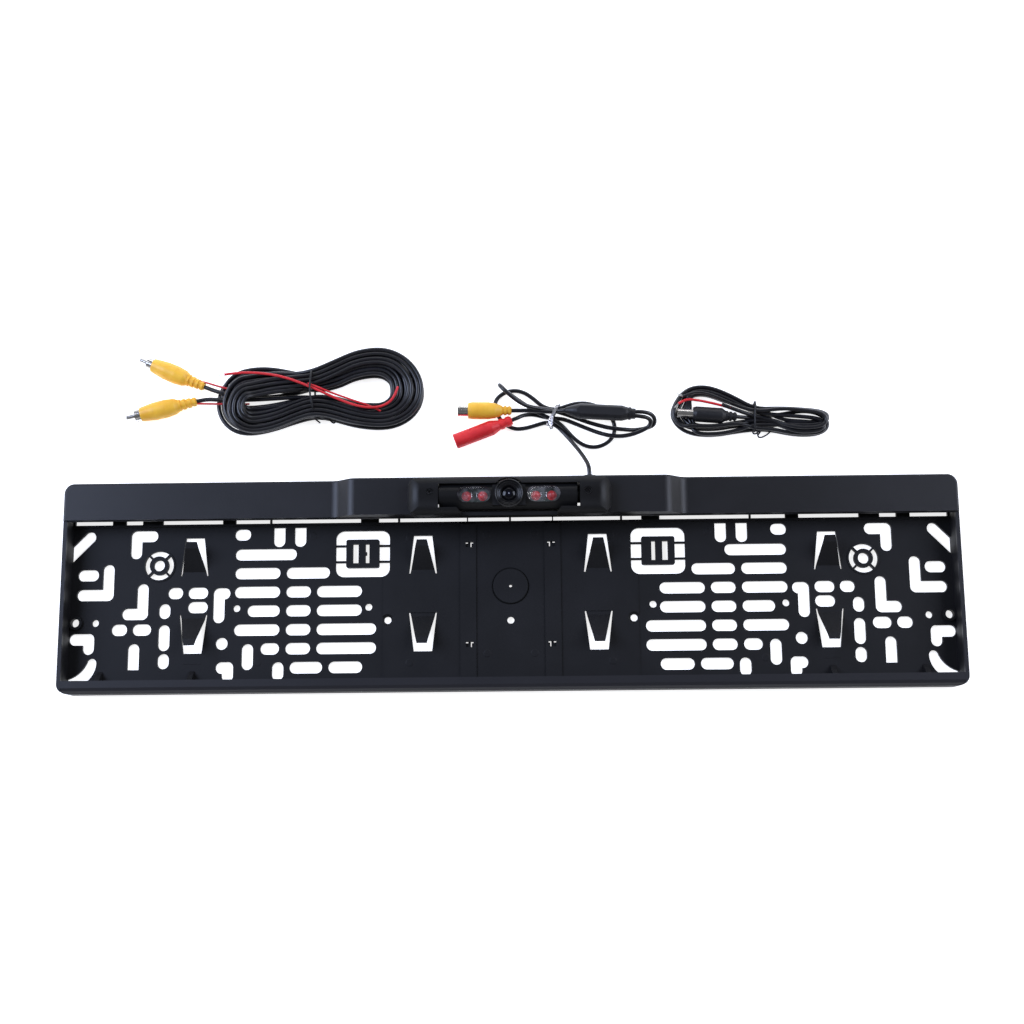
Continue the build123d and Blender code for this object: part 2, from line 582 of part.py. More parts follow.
def housing_screws():
    """Two cross-head screws that hold the housing to the hump."""
    screws = []
    tip = SCREW_BOSS_Z + 0.2
    for x in (-SCREW_X, SCREW_X):
        head = cylinder_z(SCREW_HEAD_R, SCREW_SEAT_Z, SCREW_TOP, x, SCREW_Y)
        cross = Pos(x, SCREW_Y, SCREW_TOP) * (Box(2.2, 0.5, 1.2) + Box(0.5, 2.2, 1.2))
        shank = cylinder_z(SCREW_R, HUMP_Z, SCREW_SEAT_Z, x, SCREW_Y)
        screws.append(head - cross + shank + cylinder_z(SCREW_PILOT_R, tip, HUMP_Z, x, SCREW_Y))
    return Compound(children=screws)


def cable_grommet():
    """Soft bush in the top wall of the hump."""
    bush = cylinder_y(2.9, TOP_Y - COVER_T - 1.2, TOP_Y + 0.8, GROMMET_X, GROMMET_Z)
    inner = cylinder_y(3.9, TOP_Y - COVER_T - 1.2, TOP_Y - COVER_T, GROMMET_X, GROMMET_Z)
    outer = cylinder_y(3.7, TOP_Y, TOP_Y + 0.8, GROMMET_X, GROMMET_Z)
    return bush + inner + outer - cylinder_y(CABLE_D / 2, AXIS_Y, TOP_Y - 0.2, GROMMET_X, GROMMET_Z)


# ---- camera head -----------------------------------------------------------------------------------
def at_axis(shape):
    """Places a shape that was drawn round the tilt axis."""
    return Pos(0, AXIS_Y, AXIS_Z) * shape


def barrel_room():
    """The hollow of the barrel."""
    return cylinder_x(BARREL_R - BARREL_WALL, BARREL_LEFT + BARREL_WALL, BARREL_RIGHT - BARREL_WALL)


def led_face(grow=0.0):
    """Front view of one LED window."""
    return SlotOverall(LED_WINDOW_L + 2 * grow, LED_WINDOW_H + 2 * grow)


def camera_barrel():
    """Front of the tilting barrel, with trunnions and the lens block."""
    tube = cylinder_x(BARREL_R, BARREL_LEFT, BARREL_RIGHT)
    tube = tube & block(BARREL_LEFT, BARREL_RIGHT, -BARREL_R, BARREL_R, SPLIT_Z, BARREL_R)
    tube = tube + block(-BLOCK_HALF, BLOCK_HALF, -BLOCK_LOW, BLOCK_HIGH, 0, BLOCK_Z)
    tube = tube - barrel_room()
    tube = tube - cylinder_z(LENS_HEAD_R + 0.6, 4.0, 20)
    for side in (-1, 1):
        tube = tube - Pos(side * LED_X, 0, 0) * prism(led_face(FIT), 3, 20)
    outer = CHEEK_X + CHEEK_T - 0.2
    tube = tube + cylinder_x(TRUNNION_R, -outer, BARREL_LEFT + 0.6)
    tube = tube + cylinder_x(TRUNNION_R, BARREL_RIGHT - 0.6, outer)
    return at_axis(tube)


BACK_SCREW_X = (BARREL_LEFT + 8.8, BARREL_RIGHT - 5.7)
LEAD_X = 24.0
LEAD_CLEAR = 0.4
LEAD_BEND = 5.6  # bend of the inner lead
LEAD_SLOT_LOW = -5.0  # the slot's ends, for a head that turns further down than up
LEAD_SLOT_HIGH = 3.0
LEAD_TOP = -1.6  # end of the lead inside the barrel


def barrel_back():
    """Rear cover of the barrel, with the slot that lets the lead stand still."""
    tube = cylinder_x(BARREL_R, BARREL_LEFT, BARREL_RIGHT)
    tube = tube & block(BARREL_LEFT, BARREL_RIGHT, -BARREL_R, BARREL_R, -BARREL_R, SPLIT_Z)
    tube = tube - barrel_room()
    tube = tube - cylinder_x(TRUNNION_R, -HOUSING_HALF, BARREL_LEFT + 0.6)
    tube = tube - cylinder_x(TRUNNION_R, BARREL_RIGHT - 0.6, HOUSING_HALF)
    x0 = LEAD_X - CABLE_D / 2 - LEAD_CLEAR
    x1 = LEAD_X + CABLE_D / 2 + LEAD_CLEAR + 3.4
    tube = tube - block(x0, x1, LEAD_SLOT_LOW, LEAD_SLOT_HIGH, -20, -4)
    for x in BACK_SCREW_X:
        tube = tube + cylinder_z(1.9, -BARREL_R + 1.2, SPLIT_Z, x)
        tube = tube - cylinder_z(0.9, -20, SPLIT_Z + 1, x)
        tube = tube - cylinder_z(1.7, -20, -BARREL_R + 1.2, x)
    return at_axis(tube)


def barrel_screws():
    """Two screws that close the barrel from behind."""
    screws = []
    for x in BACK_SCREW_X:
        head = cylinder_z(1.6, -BARREL_R + 0.3, -BARREL_R + 1.2, x)
        shank = cylinder_z(0.8, -BARREL_R + 1.2, SPLIT_Z + 3.0, x)
        screws.append(at_axis(head + shank))
    return Compound(children=screws)


def lens_bezel():
    """Stepped ring round the lens, on the flat block."""
    ring = cylinder_z(BEZEL_R, BLOCK_Z, BEZEL_FRONT) + cylinder_z(LENS_HEAD_R + 0.5, 5.2, BLOCK_Z)
    ring = ring - cylinder_z(LENS_HEAD_R + 0.1, 5, 12)
    ring = ring - (cylinder_z(BEZEL_R - 0.9, BEZEL_FRONT - 0.6, 12) - cylinder_z(7.0, 5, 12))
    outer = ring.edges().filter_by(GeomType.CIRCLE).filter_by(
        lambda e: abs(e.radius - BEZEL_R) < 0.01 and e.center().Z > BEZEL_FRONT - 0.1)
    return at_axis(fillet(outer, 0.5))


def lens_seal():
    """Flat ring under the lens head."""
    return at_axis(cylinder_z(LENS_HEAD_R, 5.4, 6.0) - cylinder_z(LENS_THREAD_R + 0.1, 5, 7))


def lens_housing():
    """Lens barrel with its wide head."""
    body = cylinder_z(LENS_HEAD_R, 6.0, BEZEL_FRONT - 0.6) + cylinder_z(LENS_THREAD_R, -1.5, 6.0)
    body = body - cylinder_z(GLASS_R + 0.05, 7.2, 12) - cylinder_z(3.0, -3, 12)
    bevel = Pos(0, 0, BEZEL_FRONT) * Cone(GLASS_R, GLASS_R + 1.1, 1.1, align=(
        Align.CENTER, Align.CENTER, Align.MAX))
    return at_axis(body - bevel)


def dome(r, z0, edge, rise):
    """A round glass: a flat disc with a domed front."""
    ball_r = (r * r + rise * rise) / (2 * rise)
    ball = Pos(0, 0, z0 + edge + rise - ball_r) * Sphere(ball_r)
    return cylinder_z(r, z0, z0 + edge) + (ball & cylinder_z(r, z0 + edge, z0 + edge + rise + 1))


def front_lens():
    """Wide front glass."""
    return at_axis(dome(GLASS_R, 7.2, 0.5, 1.5))


def rear_lens():
    """Small glass at the sensor end of the lens housing."""
    return at_axis(dome(2.9, -0.6, 0.5, 0.7))


def lens_mount():
    """Socket on the sensor board that the lens housing screws into."""
    body = block(-6, 6, -4.4, 4.4, -4.4, -1.6) + cylinder_z(LENS_THREAD_R + 1.1, -1.6, 2.2)
    return at_axis(body - cylinder_z(LENS_THREAD_R + 0.05, -1.6, 3) - cylinder_z(3.3, -5, -1.6)
                   - block(-3.7, 3.7, -3.2, 3.2, -5, -3.2))


def ir_filter():
    """Thin filter glass over the sensor."""
    return at_axis(cylinder_z(3.2, -2.3, -1.7))


def sensor_board():
    """Circuit board behind the lens, with a few parts on it."""
    board = block(-11, 11, -4.2, 4.2, -5.4, -4.4)
    for x, y in ((-8.5, 1.5), (8.5, -1.2), (8.5, 1.8)):
        board = board + block(x - 1.2, x + 1.2, y - 0.8, y + 0.8, -4.4, -3.6)
    return at_axis(board)


def image_sensor():
    """Sensor chip under the filter."""
    return at_axis(block(-3.2, 3.2, -2.7, 2.7, -4.4, -3.5))


def led_window(side):
    """Clear cover that follows the barrel's curve."""
    cover = Pos(side * LED_X, 0, 0) * prism(led_face(), 5.2, 20)
    return at_axis(cover & cylinder_x(BARREL_R + 0.2, BARREL_LEFT, BARREL_RIGHT))


def led_board(side):
    """Board that carries two LEDs."""
    plate = Pos(side * LED_X, 0, 0) * prism(SlotOverall(18.6, 8.8), -0.4, 0.6)
    lugs = block(side * LED_X - 1.5, side * LED_X + 1.5, -6.6, 6.6, -0.4, 0.6)
    return at_axis(plate + lugs)


def ir_led(x):
    """A domed LED with its flange."""
    flange = cylinder_z(LED_R + 0.3, 0.6, 1.4, x)
    body = cylinder_z(LED_R, 1.4, 2.6, x)
    cap = (Pos(x, 0, 2.6) * Sphere(LED_R)) & cylinder_z(LED_R, 2.6, 6, x)
    return at_axis(flange + body + cap)


def friction_ring(side):
    """Rubber ring on a trunnion that holds the tilt by friction."""
    end = BARREL_RIGHT if side > 0 else -BARREL_LEFT
    x0, x1 = sorted((side * (end + 0.02), side * (CHEEK_X - FIT)))
    ring = cylinder_x(4.4, x0, x1) - cylinder_x(TRUNNION_R + 0.02, -HOUSING_HALF, HOUSING_HALF)
    return at_axis(ring)


def inner_lead():
    """Lead from inside the barrel, out of its slot and under the hump to the grommet."""
    low_z = GROMMET_Z - 1.9
    path = FilletPolyline(
        (LEAD_X, AXIS_Y, AXIS_Z + LEAD_TOP), (LEAD_X, AXIS_Y, low_z), (LEAD_X + 12, AXIS_Y + 0.5, low_z),
        (GROMMET_X, AXIS_Y + 3.5, GROMMET_Z), (GROMMET_X, TOP_Y - 0.2, GROMMET_Z),
        radius=[LEAD_BEND, 8.0, LEAD_BEND])
    return tube(path, CABLE_D)


# ---- cables --------------------------------------------------------------------------------------
def tube(path, d):
    """A round cable along a path of straight runs and arcs."""
    return sweep(Plane(path @ 0, z_dir=path % 0) * Circle(d / 2), path=path)


def cable_path(points, name):
    """Straight runs joined by arcs as large as the runs allow; prints the arc radii."""
    points = [Vector(*p) for p in points]
    radii = []
    for a, b, c in zip(points, points[1:], points[2:]):
        turn = (b - a).get_angle(c - b)
        short = min((b - a).length, (c - b).length)
        radii.append(0.45 * short / math.tan(math.radians(turn / 2)))
    print(name, "arc radii", [round(r, 1) for r in radii])
    return FilletPolyline(*points, radius=radii)


PIGTAIL_ROUTE = (
    (GROMMET_X, TOP_Y + 0.9, GROMMET_Z), (GROMMET_X, 68.6, GROMMET_Z), (45.4, 75.6, 15.2),
    (42.2, 82.6, 10.6), (37.4, 89.2, 7.6), (32.0, 94.6, 7.0), (31.0, 100.3, 7.0))
HANK_H = 5.4
WAIST = (1.7, 33.9, 100.4, 109.6, 9.6)  # the bundle under the tie: X and Y limits, height
RCA_SOCKET = (1.6, 106.1, 179.4)  # cable end of the socket, and the way it points
RCA_SOCKET_Z = 8.3
RCA_SOCKET_BODY_R = 5.2
DC_SOCKET = (1.6, 100.6, 200.6)
DC_SOCKET_Z = 6.2
DC_SOCKET_L = 36.6
MODULE = (34.0, 105.4, -3.5)
MODULE_L = 42.2
MODULE_Z = 9.8
MODULE_R = 4.7
VIDEO_H = 12.6
RCA_PLUGS = {"upper": (-185.6, 124.0, 156.1), "lower": (-190.0, 115.0, 193.2)}
RCA_PLUG_Z = 5.7
RCA_PLUG_L = 34.8  # cable end to the front of the moulding
VIDEO_TAILS = {
    "upper": ((-185.51, 123.96, RCA_PLUG_Z), (-180.9, 121.92, RCA_PLUG_Z), (-176.3, 120.3, 5.3)),
    "lower": ((-189.9, 115.02, RCA_PLUG_Z), (-184.6, 116.26, RCA_PLUG_Z), (-178.5, 115.5, 5.2)),
}
TRIGGER_ROUTE = (
    (-172.0, 129.4), (-163.0, 130.7), (-150.0, 130.2), (-137.5, 128.0), (-127.0, 124.3),
    (-118.4, 120.6), (-109.6, 116.4), (-101.2, 112.6), (-92.4, 109.2), (-82.6, 107.4),
    (-74.2, 109.0), (-68.6, 114.2), (-66.8, 120.6))
POWER_H = 6.6
DC_PLUG = (137.7, 101.4, 175.4)
DC_PLUG_Z = 5.0
DC_PLUG_R = 4.7
RED_LEAD = (
    (134.0, 106.4), (126.0, 108.6), (119.0, 110.4), (112.6, 111.6), (107.0, 112.2), (102.6, 109.4))
BLACK_LEAD = (
    (134.2, 109.4), (127.4, 112.6), (120.6, 115.6), (113.4, 116.6), (108.8, 115.2), (105.2, 113.8))


def lying(shape, place, z):
    """Turns a piece drawn along +X about Z and lays it at its cable end."""
    x, y, turn = place
    return Pos(x, y, z) * Rot(0, 0, turn) * shape


def round_body(points):
    """A body of revolution along X through points of (distance, radius)."""
    start, end = points[0][0], points[-1][0]
    line = Polyline(*points)
    rest = Polyline((end, points[-1][1]), (end, 0), (start, 0), (start, points[0][1]))
    return revolve(make_face(line + rest), Axis.X, 360)


def ribbed_relief(length, r_end, r_body, ribs):
    """A tapered strain relief with rings round it."""
    relief = round_body(((0, r_end), (length, r_body)))
    pitch = length / ribs
    for i in range(ribs):
        x = pitch * (i + 0.5)
        r = r_end + (r_body - r_end) * x / length + 0.5
        relief = relief + cylinder_x(r, x - pitch * 0.27, x + pitch * 0.27)
    return relief


def rca_socket_body():
    """Moulded body of the video socket with its ribbed relief."""
    r = RCA_SOCKET_BODY_R
    body = round_body(((6.0, 3.0), (10.0, r - 0.6), (14.0, r), (24.0, r), (26.2, r - 0.4)))
    body = body + ribbed_relief(7.6, 2.2, 2.6, 3) - cylinder_x(2.2, 14, 30)
    return lying(body, RCA_SOCKET, RCA_SOCKET_Z)


def rca_socket_ring():
    """Metal outer contact of the video socket."""
    shape = cylinder_x(3.8, 26.2, 32.4) - cylinder_x(3.1, 27.0, 36)
    shape = shape + cylinder_x(2.1, 20, 26.2) - cylinder_x(1.2, 15, 36)
    return lying(shape, RCA_SOCKET, RCA_SOCKET_Z)


def rca_socket_core():
    """Insulating core of the video socket."""
    shape = cylinder_x(3.0, 27.1, 31.6) - cylinder_x(1.65, 27, 36)
    return lying(shape, RCA_SOCKET, RCA_SOCKET_Z)


def dc_socket_body():
    """Moulded body of the power socket."""
    r = DC_SOCKET_BODY_R
    body = round_body(((8.0, 3.0), (13.0, r), (DC_SOCKET_L, r)))
    shape = body + ribbed_relief(8.6, 2.6, 2.9, 2) - cylinder_x(2.8, DC_SOCKET_L - 10, 50)
    return lying(shape, DC_SOCKET, DC_SOCKET_Z)


def dc_socket_pin():
    """Centre pin inside the power socket."""
    return lying(cylinder_x(1.0, DC_SOCKET_L - 10, DC_SOCKET_L - 2), DC_SOCKET, DC_SOCKET_Z)


def splitter_module():
    """Moulded splitter where the cable parts into the two leads."""
    r, end = MODULE_R, MODULE_L - 4.0
    body = round_body(((0, 1.8), (5.0, 3.6), (9.0, r), (end - 4.0, r), (end, 3.6)))
    body = body & block(-5, 60, -r, r, 0.6 - r, r - 0.6)
    shape = body + cylinder_x(3.9, end, end + 1.4) + cylinder_x(3.2, end, MODULE_L)
    return lying(shape, MODULE, MODULE_Z)


def smooth_face(points):
    """A closed smooth outline through a few points."""
    return make_face(Spline(*points, periodic=True))


def pigtail_hank():
    """Outer shape of the pigtail's tied loops."""
    points = (
        (26.0, 100.8), (34.0, 99.4), (42.0, 93.4), (50.0, 87.0), (58.0, 89.0), (66.0, 92.4),
        (80.0, 94.6), (88.6, 99.6), (84.0, 106.4), (66.0, 108.6), (50.0, 110.6), (36.0, 111.4),
        (22.0, 109.8), (12.0, 115.2), (4.0, 118.8), (-3.6, 117.6), (-7.4, 111.0), (-4.6, 102.6),
        (3.0, 97.2), (14.0, 97.6))
    x0, x1, y0, y1, height = WAIST
    hank = prism(smooth_face(points), 0, HANK_H) + block(x0, x1, y0, y1, 0, height)
    rca = cylinder_x(RCA_SOCKET_BODY_R + 0.3, 0, 30)
    dc = cylinder_x(DC_SOCKET_BODY_R + 0.3, 0, 40)
    hank = hank - lying(rca, RCA_SOCKET, RCA_SOCKET_Z) - lying(dc, DC_SOCKET, DC_SOCKET_Z)
    return hank.solids().sort_by(SortBy.VOLUME)[-1]


def video_hank():
    """Outer shape of the tied hank of the video cable, with its eye."""
    points = (
        (-179.7, 108.9), (-176.6, 118.4), (-170.9, 127.9), (-161.0, 135.2), (-148.0, 136.6),
        (-132.0, 133.2), (-120.0, 133.2), (-106.0, 139.2), (-91.0, 145.8), (-74.0, 147.0),
        (-59.0, 139.4), (-50.4, 125.0), (-50.8, 111.6), (-59.0, 100.8), (-73.0, 95.2),
        (-92.0, 97.0), (-108.0, 102.2), (-123.5, 104.0), (-140.0, 97.4), (-158.0, 93.0),
        (-172.0, 96.8))
    eye = (
        (-105.0, 119.4), (-93.0, 126.8), (-80.0, 129.0), (-73.2, 121.9), (-77.4, 113.4),
        (-92.0, 113.6))
    return prism(smooth_face(points) - smooth_face(eye), 0, VIDEO_H)


def rca_plug(which):
    """Body, shell and pin of a video plug."""
    end = RCA_PLUG_L
    body = round_body(((11.6, 3.9), (13.6, 4.9), (19.0, 5.6), (26.0, 5.5), (end - 1.0, 4.4),
                       (end, 4.1)))
    body = body + ribbed_relief(12.4, 2.1, 3.3, 4) - cylinder_x(1.5, 24, end + 1)
    shell = cylinder_x(3.9, end, end + 3.4) - cylinder_x(3.3, end + 0.6, end + 9)
    shell = shell - cylinder_x(1.5, end - 1, end + 2)
    for turn in (0, 90):
        shell = shell - Rot(turn, 0, 0) * block(end + 1.2, end + 5, -0.5, 0.5, -6, 6)
    pin = cylinder_x(1.45, 25, end + 8.6) + Pos(end + 9.1, 0, 0) * Cone(
        1.45, 0.7, 1.0, rotation=(0, 90, 0))
    place = RCA_PLUGS[which]
    return [lying(shape, place, RCA_PLUG_Z) for shape in (body, shell, pin)]


def video_tail(which):
    """Short stretch of cable between a plug and the hank."""
    return tube(cable_path(VIDEO_TAILS[which], "video tail " + which), CABLE_D)


def flat_route(points, z):
    """Route points at one height."""
    return [(x, y, z) for x, y in points]


def trigger_wire():
    """Red trigger wire that lies over the hank."""
    z = VIDEO_H + WIRE_D / 2 + 0.1
    return tube(cable_path(flat_route(TRIGGER_ROUTE, z), "trigger wire"), WIRE_D)


def power_hank():
    """Outer shape of the tied hank of the power cable, open where its plug lies."""
    points = (
        (97.4, 102.7), (100.6, 109.6), (105.2, 116.6), (112.0, 121.4), (123.1, 121.1),
        (134.0, 116.4), (147.5, 109.8), (162.9, 108.8), (180.0, 106.9), (193.5, 104.2),
        (194.8, 95.0), (187.4, 89.2), (173.6, 89.4), (158.4, 93.2), (143.0, 92.8),
        (126.0, 90.2), (110.6, 91.0), (101.0, 96.2))
    room = lying(block(0, 37.2, -DC_PLUG_R - 1.0, DC_PLUG_R + 1.0, -9, 9), DC_PLUG, DC_PLUG_Z)
    return prism(smooth_face(points), 0, POWER_H) - room


def dc_plug_body():
    """Moulded body of the power plug with its ribbed relief."""
    body = round_body(((6.8, 3.2), (9.0, DC_PLUG_R), (24.6, DC_PLUG_R), (26.4, 4.0)))
    return lying(body + ribbed_relief(7.4, 2.0, 2.8, 3), DC_PLUG, DC_PLUG_Z)


def dc_plug_barrel():
    """Metal barrel of the power plug."""
    barrel = cylinder_x(2.75, 26.4, 35.8) - cylinder_x(1.25, 28.0, 40)
    return lying(barrel, DC_PLUG, DC_PLUG_Z)


def power_lead(points, name):
    """One bare-ended lead of the power cable, on top of the hank."""
    z = POWER_H + WIRE_D / 2 + 0.1
    return tube(cable_path(flat_route(points, z), name), WIRE_D)


def tie(x, y0, y1, height, turn=0.0, tail=6.0):
    """A flat tie round a bundle, with its twisted end."""
    t = 0.9
    half = (y1 - y0) / 2
    loop = block(-1.2, 1.2, -half - t, half + t, 0, height + t)
    loop = loop - block(-2, 2, -half, half, -1, height)
    twist = cylinder_y(0.75, -half - t - tail, -half - t, 0.0, 0.8)
    return Pos(x, (y0 + y1) / 2, 0) * Rot(0, 0, turn) * (loop + twist)


def main():
    parts = {
        "plate_holder": plate_holder(),
        "top_cover": top_cover(),
        "breakoff_clip_left": breakoff_clip(-1),
        "breakoff_clip_right": breakoff_clip(1),
        "camera_housing": camera_housing(),
        "housing_base": housing_base(),
        "housing_screws": housing_screws(),
        "cable_grommet": cable_grommet(),
        "inner_lead": inner_lead(),
        "camera_barrel": camera_barrel(),
        "barrel_back": barrel_back(),
        "barrel_screws": barrel_screws(),
        "lens_bezel": lens_bezel(),
        "lens_seal": lens_seal(),
        "lens_housing": lens_housing(),
        "front_lens": front_lens(),
        "rear_lens": rear_lens(),
        "lens_mount": lens_mount(),
        "ir_filter": ir_filter(),
        "sensor_board": sensor_board(),
        "image_sensor": image_sensor(),
    }
    for side, name in ((-1, "left"), (1, "right")):
        parts["led_window_" + name] = led_window(side)
        parts["led_board_" + name] = led_board(side)
        parts["friction_ring_" + name] = friction_ring(side)
    spots = [s * LED_X + d * LED_PITCH / 2 for s in (-1, 1) for d in (-1, 1)]
    for i, x in enumerate(spots):
        parts[f"ir_led_{i + 1}"] = ir_led(x)
    parts["pigtail_tube"] = tube(cable_path(PIGTAIL_ROUTE, "pigtail"), CABLE_D)
    parts["pigtail_hank"] = pigtail_hank()
    parts["splitter_module"] = splitter_module()
    parts["rca_socket_body"] = rca_socket_body()
    parts["rca_socket_ring"] = rca_socket_ring()
    parts["rca_socket_core"] = rca_socket_core()
    parts["dc_socket_body"] = dc_socket_body()
    parts["dc_socket_pin"] = dc_socket_pin()
    parts["pigtail_tie"] = tie(27.6, 99.9, 110.1, WAIST[4] + 0.3)
    parts["video_hank"] = video_hank()
    parts["video_tie"] = tie(-118.2, 103.0, 134.4, VIDEO_H + WIRE_D + 0.5, 4.0)
    parts["trigger_wire"] = trigger_wire()
    for which in RCA_PLUGS:
        body, shell, pin = rca_plug(which)
        parts[f"rca_plug_{which}_body"] = body
        parts[f"rca_plug_{which}_shell"] = shell
        parts[f"rca_plug_{which}_pin"] = pin
        parts["video_tail_" + which] = video_tail(which)
    parts["power_hank"] = power_hank()
    parts["power_tie"] = tie(149.2, 92.4, 110.4, POWER_H + 0.3)
    parts["dc_plug_body"] = dc_plug_body()
    parts["dc_plug_barrel"] = dc_plug_barrel()
    parts["power_lead_red"] = power_lead(RED_LEAD, "red lead")
    parts["power_lead_black"] = power_lead(BLACK_LEAD, "black lead")
    for name, shape in parts.items():
        export_step(shape, "parts/" + name + ".step")


main()
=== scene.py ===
import math
import random

import bmesh
import bpy
from mathutils import Euler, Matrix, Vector


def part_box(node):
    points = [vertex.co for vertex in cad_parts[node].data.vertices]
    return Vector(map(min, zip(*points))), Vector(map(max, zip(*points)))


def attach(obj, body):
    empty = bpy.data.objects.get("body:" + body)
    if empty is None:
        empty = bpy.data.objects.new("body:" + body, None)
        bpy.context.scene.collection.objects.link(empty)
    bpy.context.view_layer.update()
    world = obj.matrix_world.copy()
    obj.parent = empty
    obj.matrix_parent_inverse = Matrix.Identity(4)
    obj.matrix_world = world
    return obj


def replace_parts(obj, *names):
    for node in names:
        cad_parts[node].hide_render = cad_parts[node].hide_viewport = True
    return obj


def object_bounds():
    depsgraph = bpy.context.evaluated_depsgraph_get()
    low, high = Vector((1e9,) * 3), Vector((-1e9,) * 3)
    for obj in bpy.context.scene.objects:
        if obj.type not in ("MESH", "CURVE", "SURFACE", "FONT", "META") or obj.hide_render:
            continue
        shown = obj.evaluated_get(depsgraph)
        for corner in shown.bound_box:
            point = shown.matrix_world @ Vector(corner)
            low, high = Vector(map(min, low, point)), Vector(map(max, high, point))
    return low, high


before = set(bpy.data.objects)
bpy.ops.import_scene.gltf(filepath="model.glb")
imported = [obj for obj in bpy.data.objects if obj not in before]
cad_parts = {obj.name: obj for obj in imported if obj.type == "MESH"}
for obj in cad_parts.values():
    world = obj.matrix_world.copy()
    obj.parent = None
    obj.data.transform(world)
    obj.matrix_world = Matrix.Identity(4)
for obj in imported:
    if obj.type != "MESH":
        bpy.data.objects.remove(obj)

MM = 0.001
LENS_AT = (0.0, 0.0496, 0.0)
CAD_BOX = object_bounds()
ROOT, HEAD = "root", "camera_head"


# ---- camera and lights ---------------------------------------------------------------------------
CAMERA_AT = Vector((12.65, -121.19, 888.11)) * MM
CAMERA_TURN = (10.609, 0.832, -0.509)  # degrees about X, Y and Z
CAMERA_LENS = 52.73
SENSOR = 36.0
WORLD_FADE = {"From Min": 0.05, "From Max": 0.7, "To Min": 1.0, "To Max": 0.13}


def add_camera():
    data = bpy.data.cameras.new("camera")
    data.sensor_width = SENSOR
    data.lens = CAMERA_LENS
    data.clip_end = 20
    camera = bpy.data.objects.new("camera", data)
    bpy.context.scene.collection.objects.link(camera)
    camera.location = CAMERA_AT
    camera.rotation_euler = Euler([math.radians(a) for a in CAMERA_TURN])
    bpy.context.scene.camera = camera


LIGHTS = (  # name, place, aim, size, power and tint: cool on both sides, plain behind and on top
    ("left_light", (-1.3, 0.42, 1.2), (-0.1, 0.02, 0), (0.95, 1.2), 31, (0.62, 0.72, 1.0)),
    ("right_light", (1.35, 0.45, 1.1), (0.1, 0.02, 0), (0.9, 1.1), 19, (0.76, 0.82, 1.0)),
    ("back_light", (0.0, 1.5, 0.8), (0, 0.06, 0), (1.6, 0.4), 5, (0.97, 0.98, 1.0)),
    ("lens_lamp", (0.0, 0.29, 1.2), (0, 0.05, 0.036), (0.03, 0.03), 0.06, (1, 1, 1)))


def softbox(name, at, aim, size, power, tint):
    """A rectangular area light that faces its aim point."""
    data = bpy.data.lights.new(name, "AREA")
    data.shape = "RECTANGLE"
    data.size, data.size_y = size
    data.energy = power
    data.color = tint
    lamp = bpy.data.objects.new(name, data)
    bpy.context.scene.collection.objects.link(lamp)
    lamp.location = at
    lamp.rotation_euler = (Vector(aim) - Vector(at)).to_track_quat("-Z", "Y").to_euler()


def add_world():
    """A bright horizon under a dim ceiling."""
    world = bpy.data.worlds.new("studio")
    world.use_nodes = True
    tree = world.node_tree
    background = tree.nodes["Background"]
    way = tree.nodes.new("ShaderNodeTexCoord")
    split = tree.nodes.new("ShaderNodeSeparateXYZ")
    fade = tree.nodes.new("ShaderNodeMapRange")
    fade.interpolation_type = "SMOOTHSTEP"
    for name, value in WORLD_FADE.items():
        fade.inputs[name].default_value = value
    tree.links.new(way.outputs["Generated"], split.inputs[0])
    tree.links.new(split.outputs["Z"], fade.inputs["Value"])
    tree.links.new(fade.outputs[0], background.inputs["Strength"])
    background.inputs["Color"].default_value = (1, 1, 1, 1)
    bpy.context.scene.world = world
    bpy.context.scene.view_settings.view_transform = "Standard"


# ---- shader arithmetic ---------------------------------------------------------------------------
class Value:
    """A socket with arithmetic: each operator adds one Math node."""

    def __init__(self, finish, socket):
        self.finish, self.socket = finish, socket

    def math(self, operation, *others):
        values = [self, *others]
        return self.finish.node("ShaderNodeMath", {"operation": operation}, dict(enumerate(values)))

    def __add__(self, other):
        return self.math("ADD", other)

    __radd__ = __add__

    def __mul__(self, other):
        return self.math("MULTIPLY", other)

    __rmul__ = __mul__

    def __sub__(self, other):
        return self.math("SUBTRACT", other)

    def __rsub__(self, other):
        return (self * -1) + other

    def smooth(self, low, high):
        """0 below low, 1 above high, eased between."""
        return self.finish.node("ShaderNodeMapRange", {"interpolation_type": "SMOOTHSTEP"},
                                {"Value": self, "From Min": low, "From Max": high})


SOCKETS = {"ior": "IOR", "specular": "Specular IOR Level"}
SPOT_EDGE = 0.0002  # half the width over which a spot fades


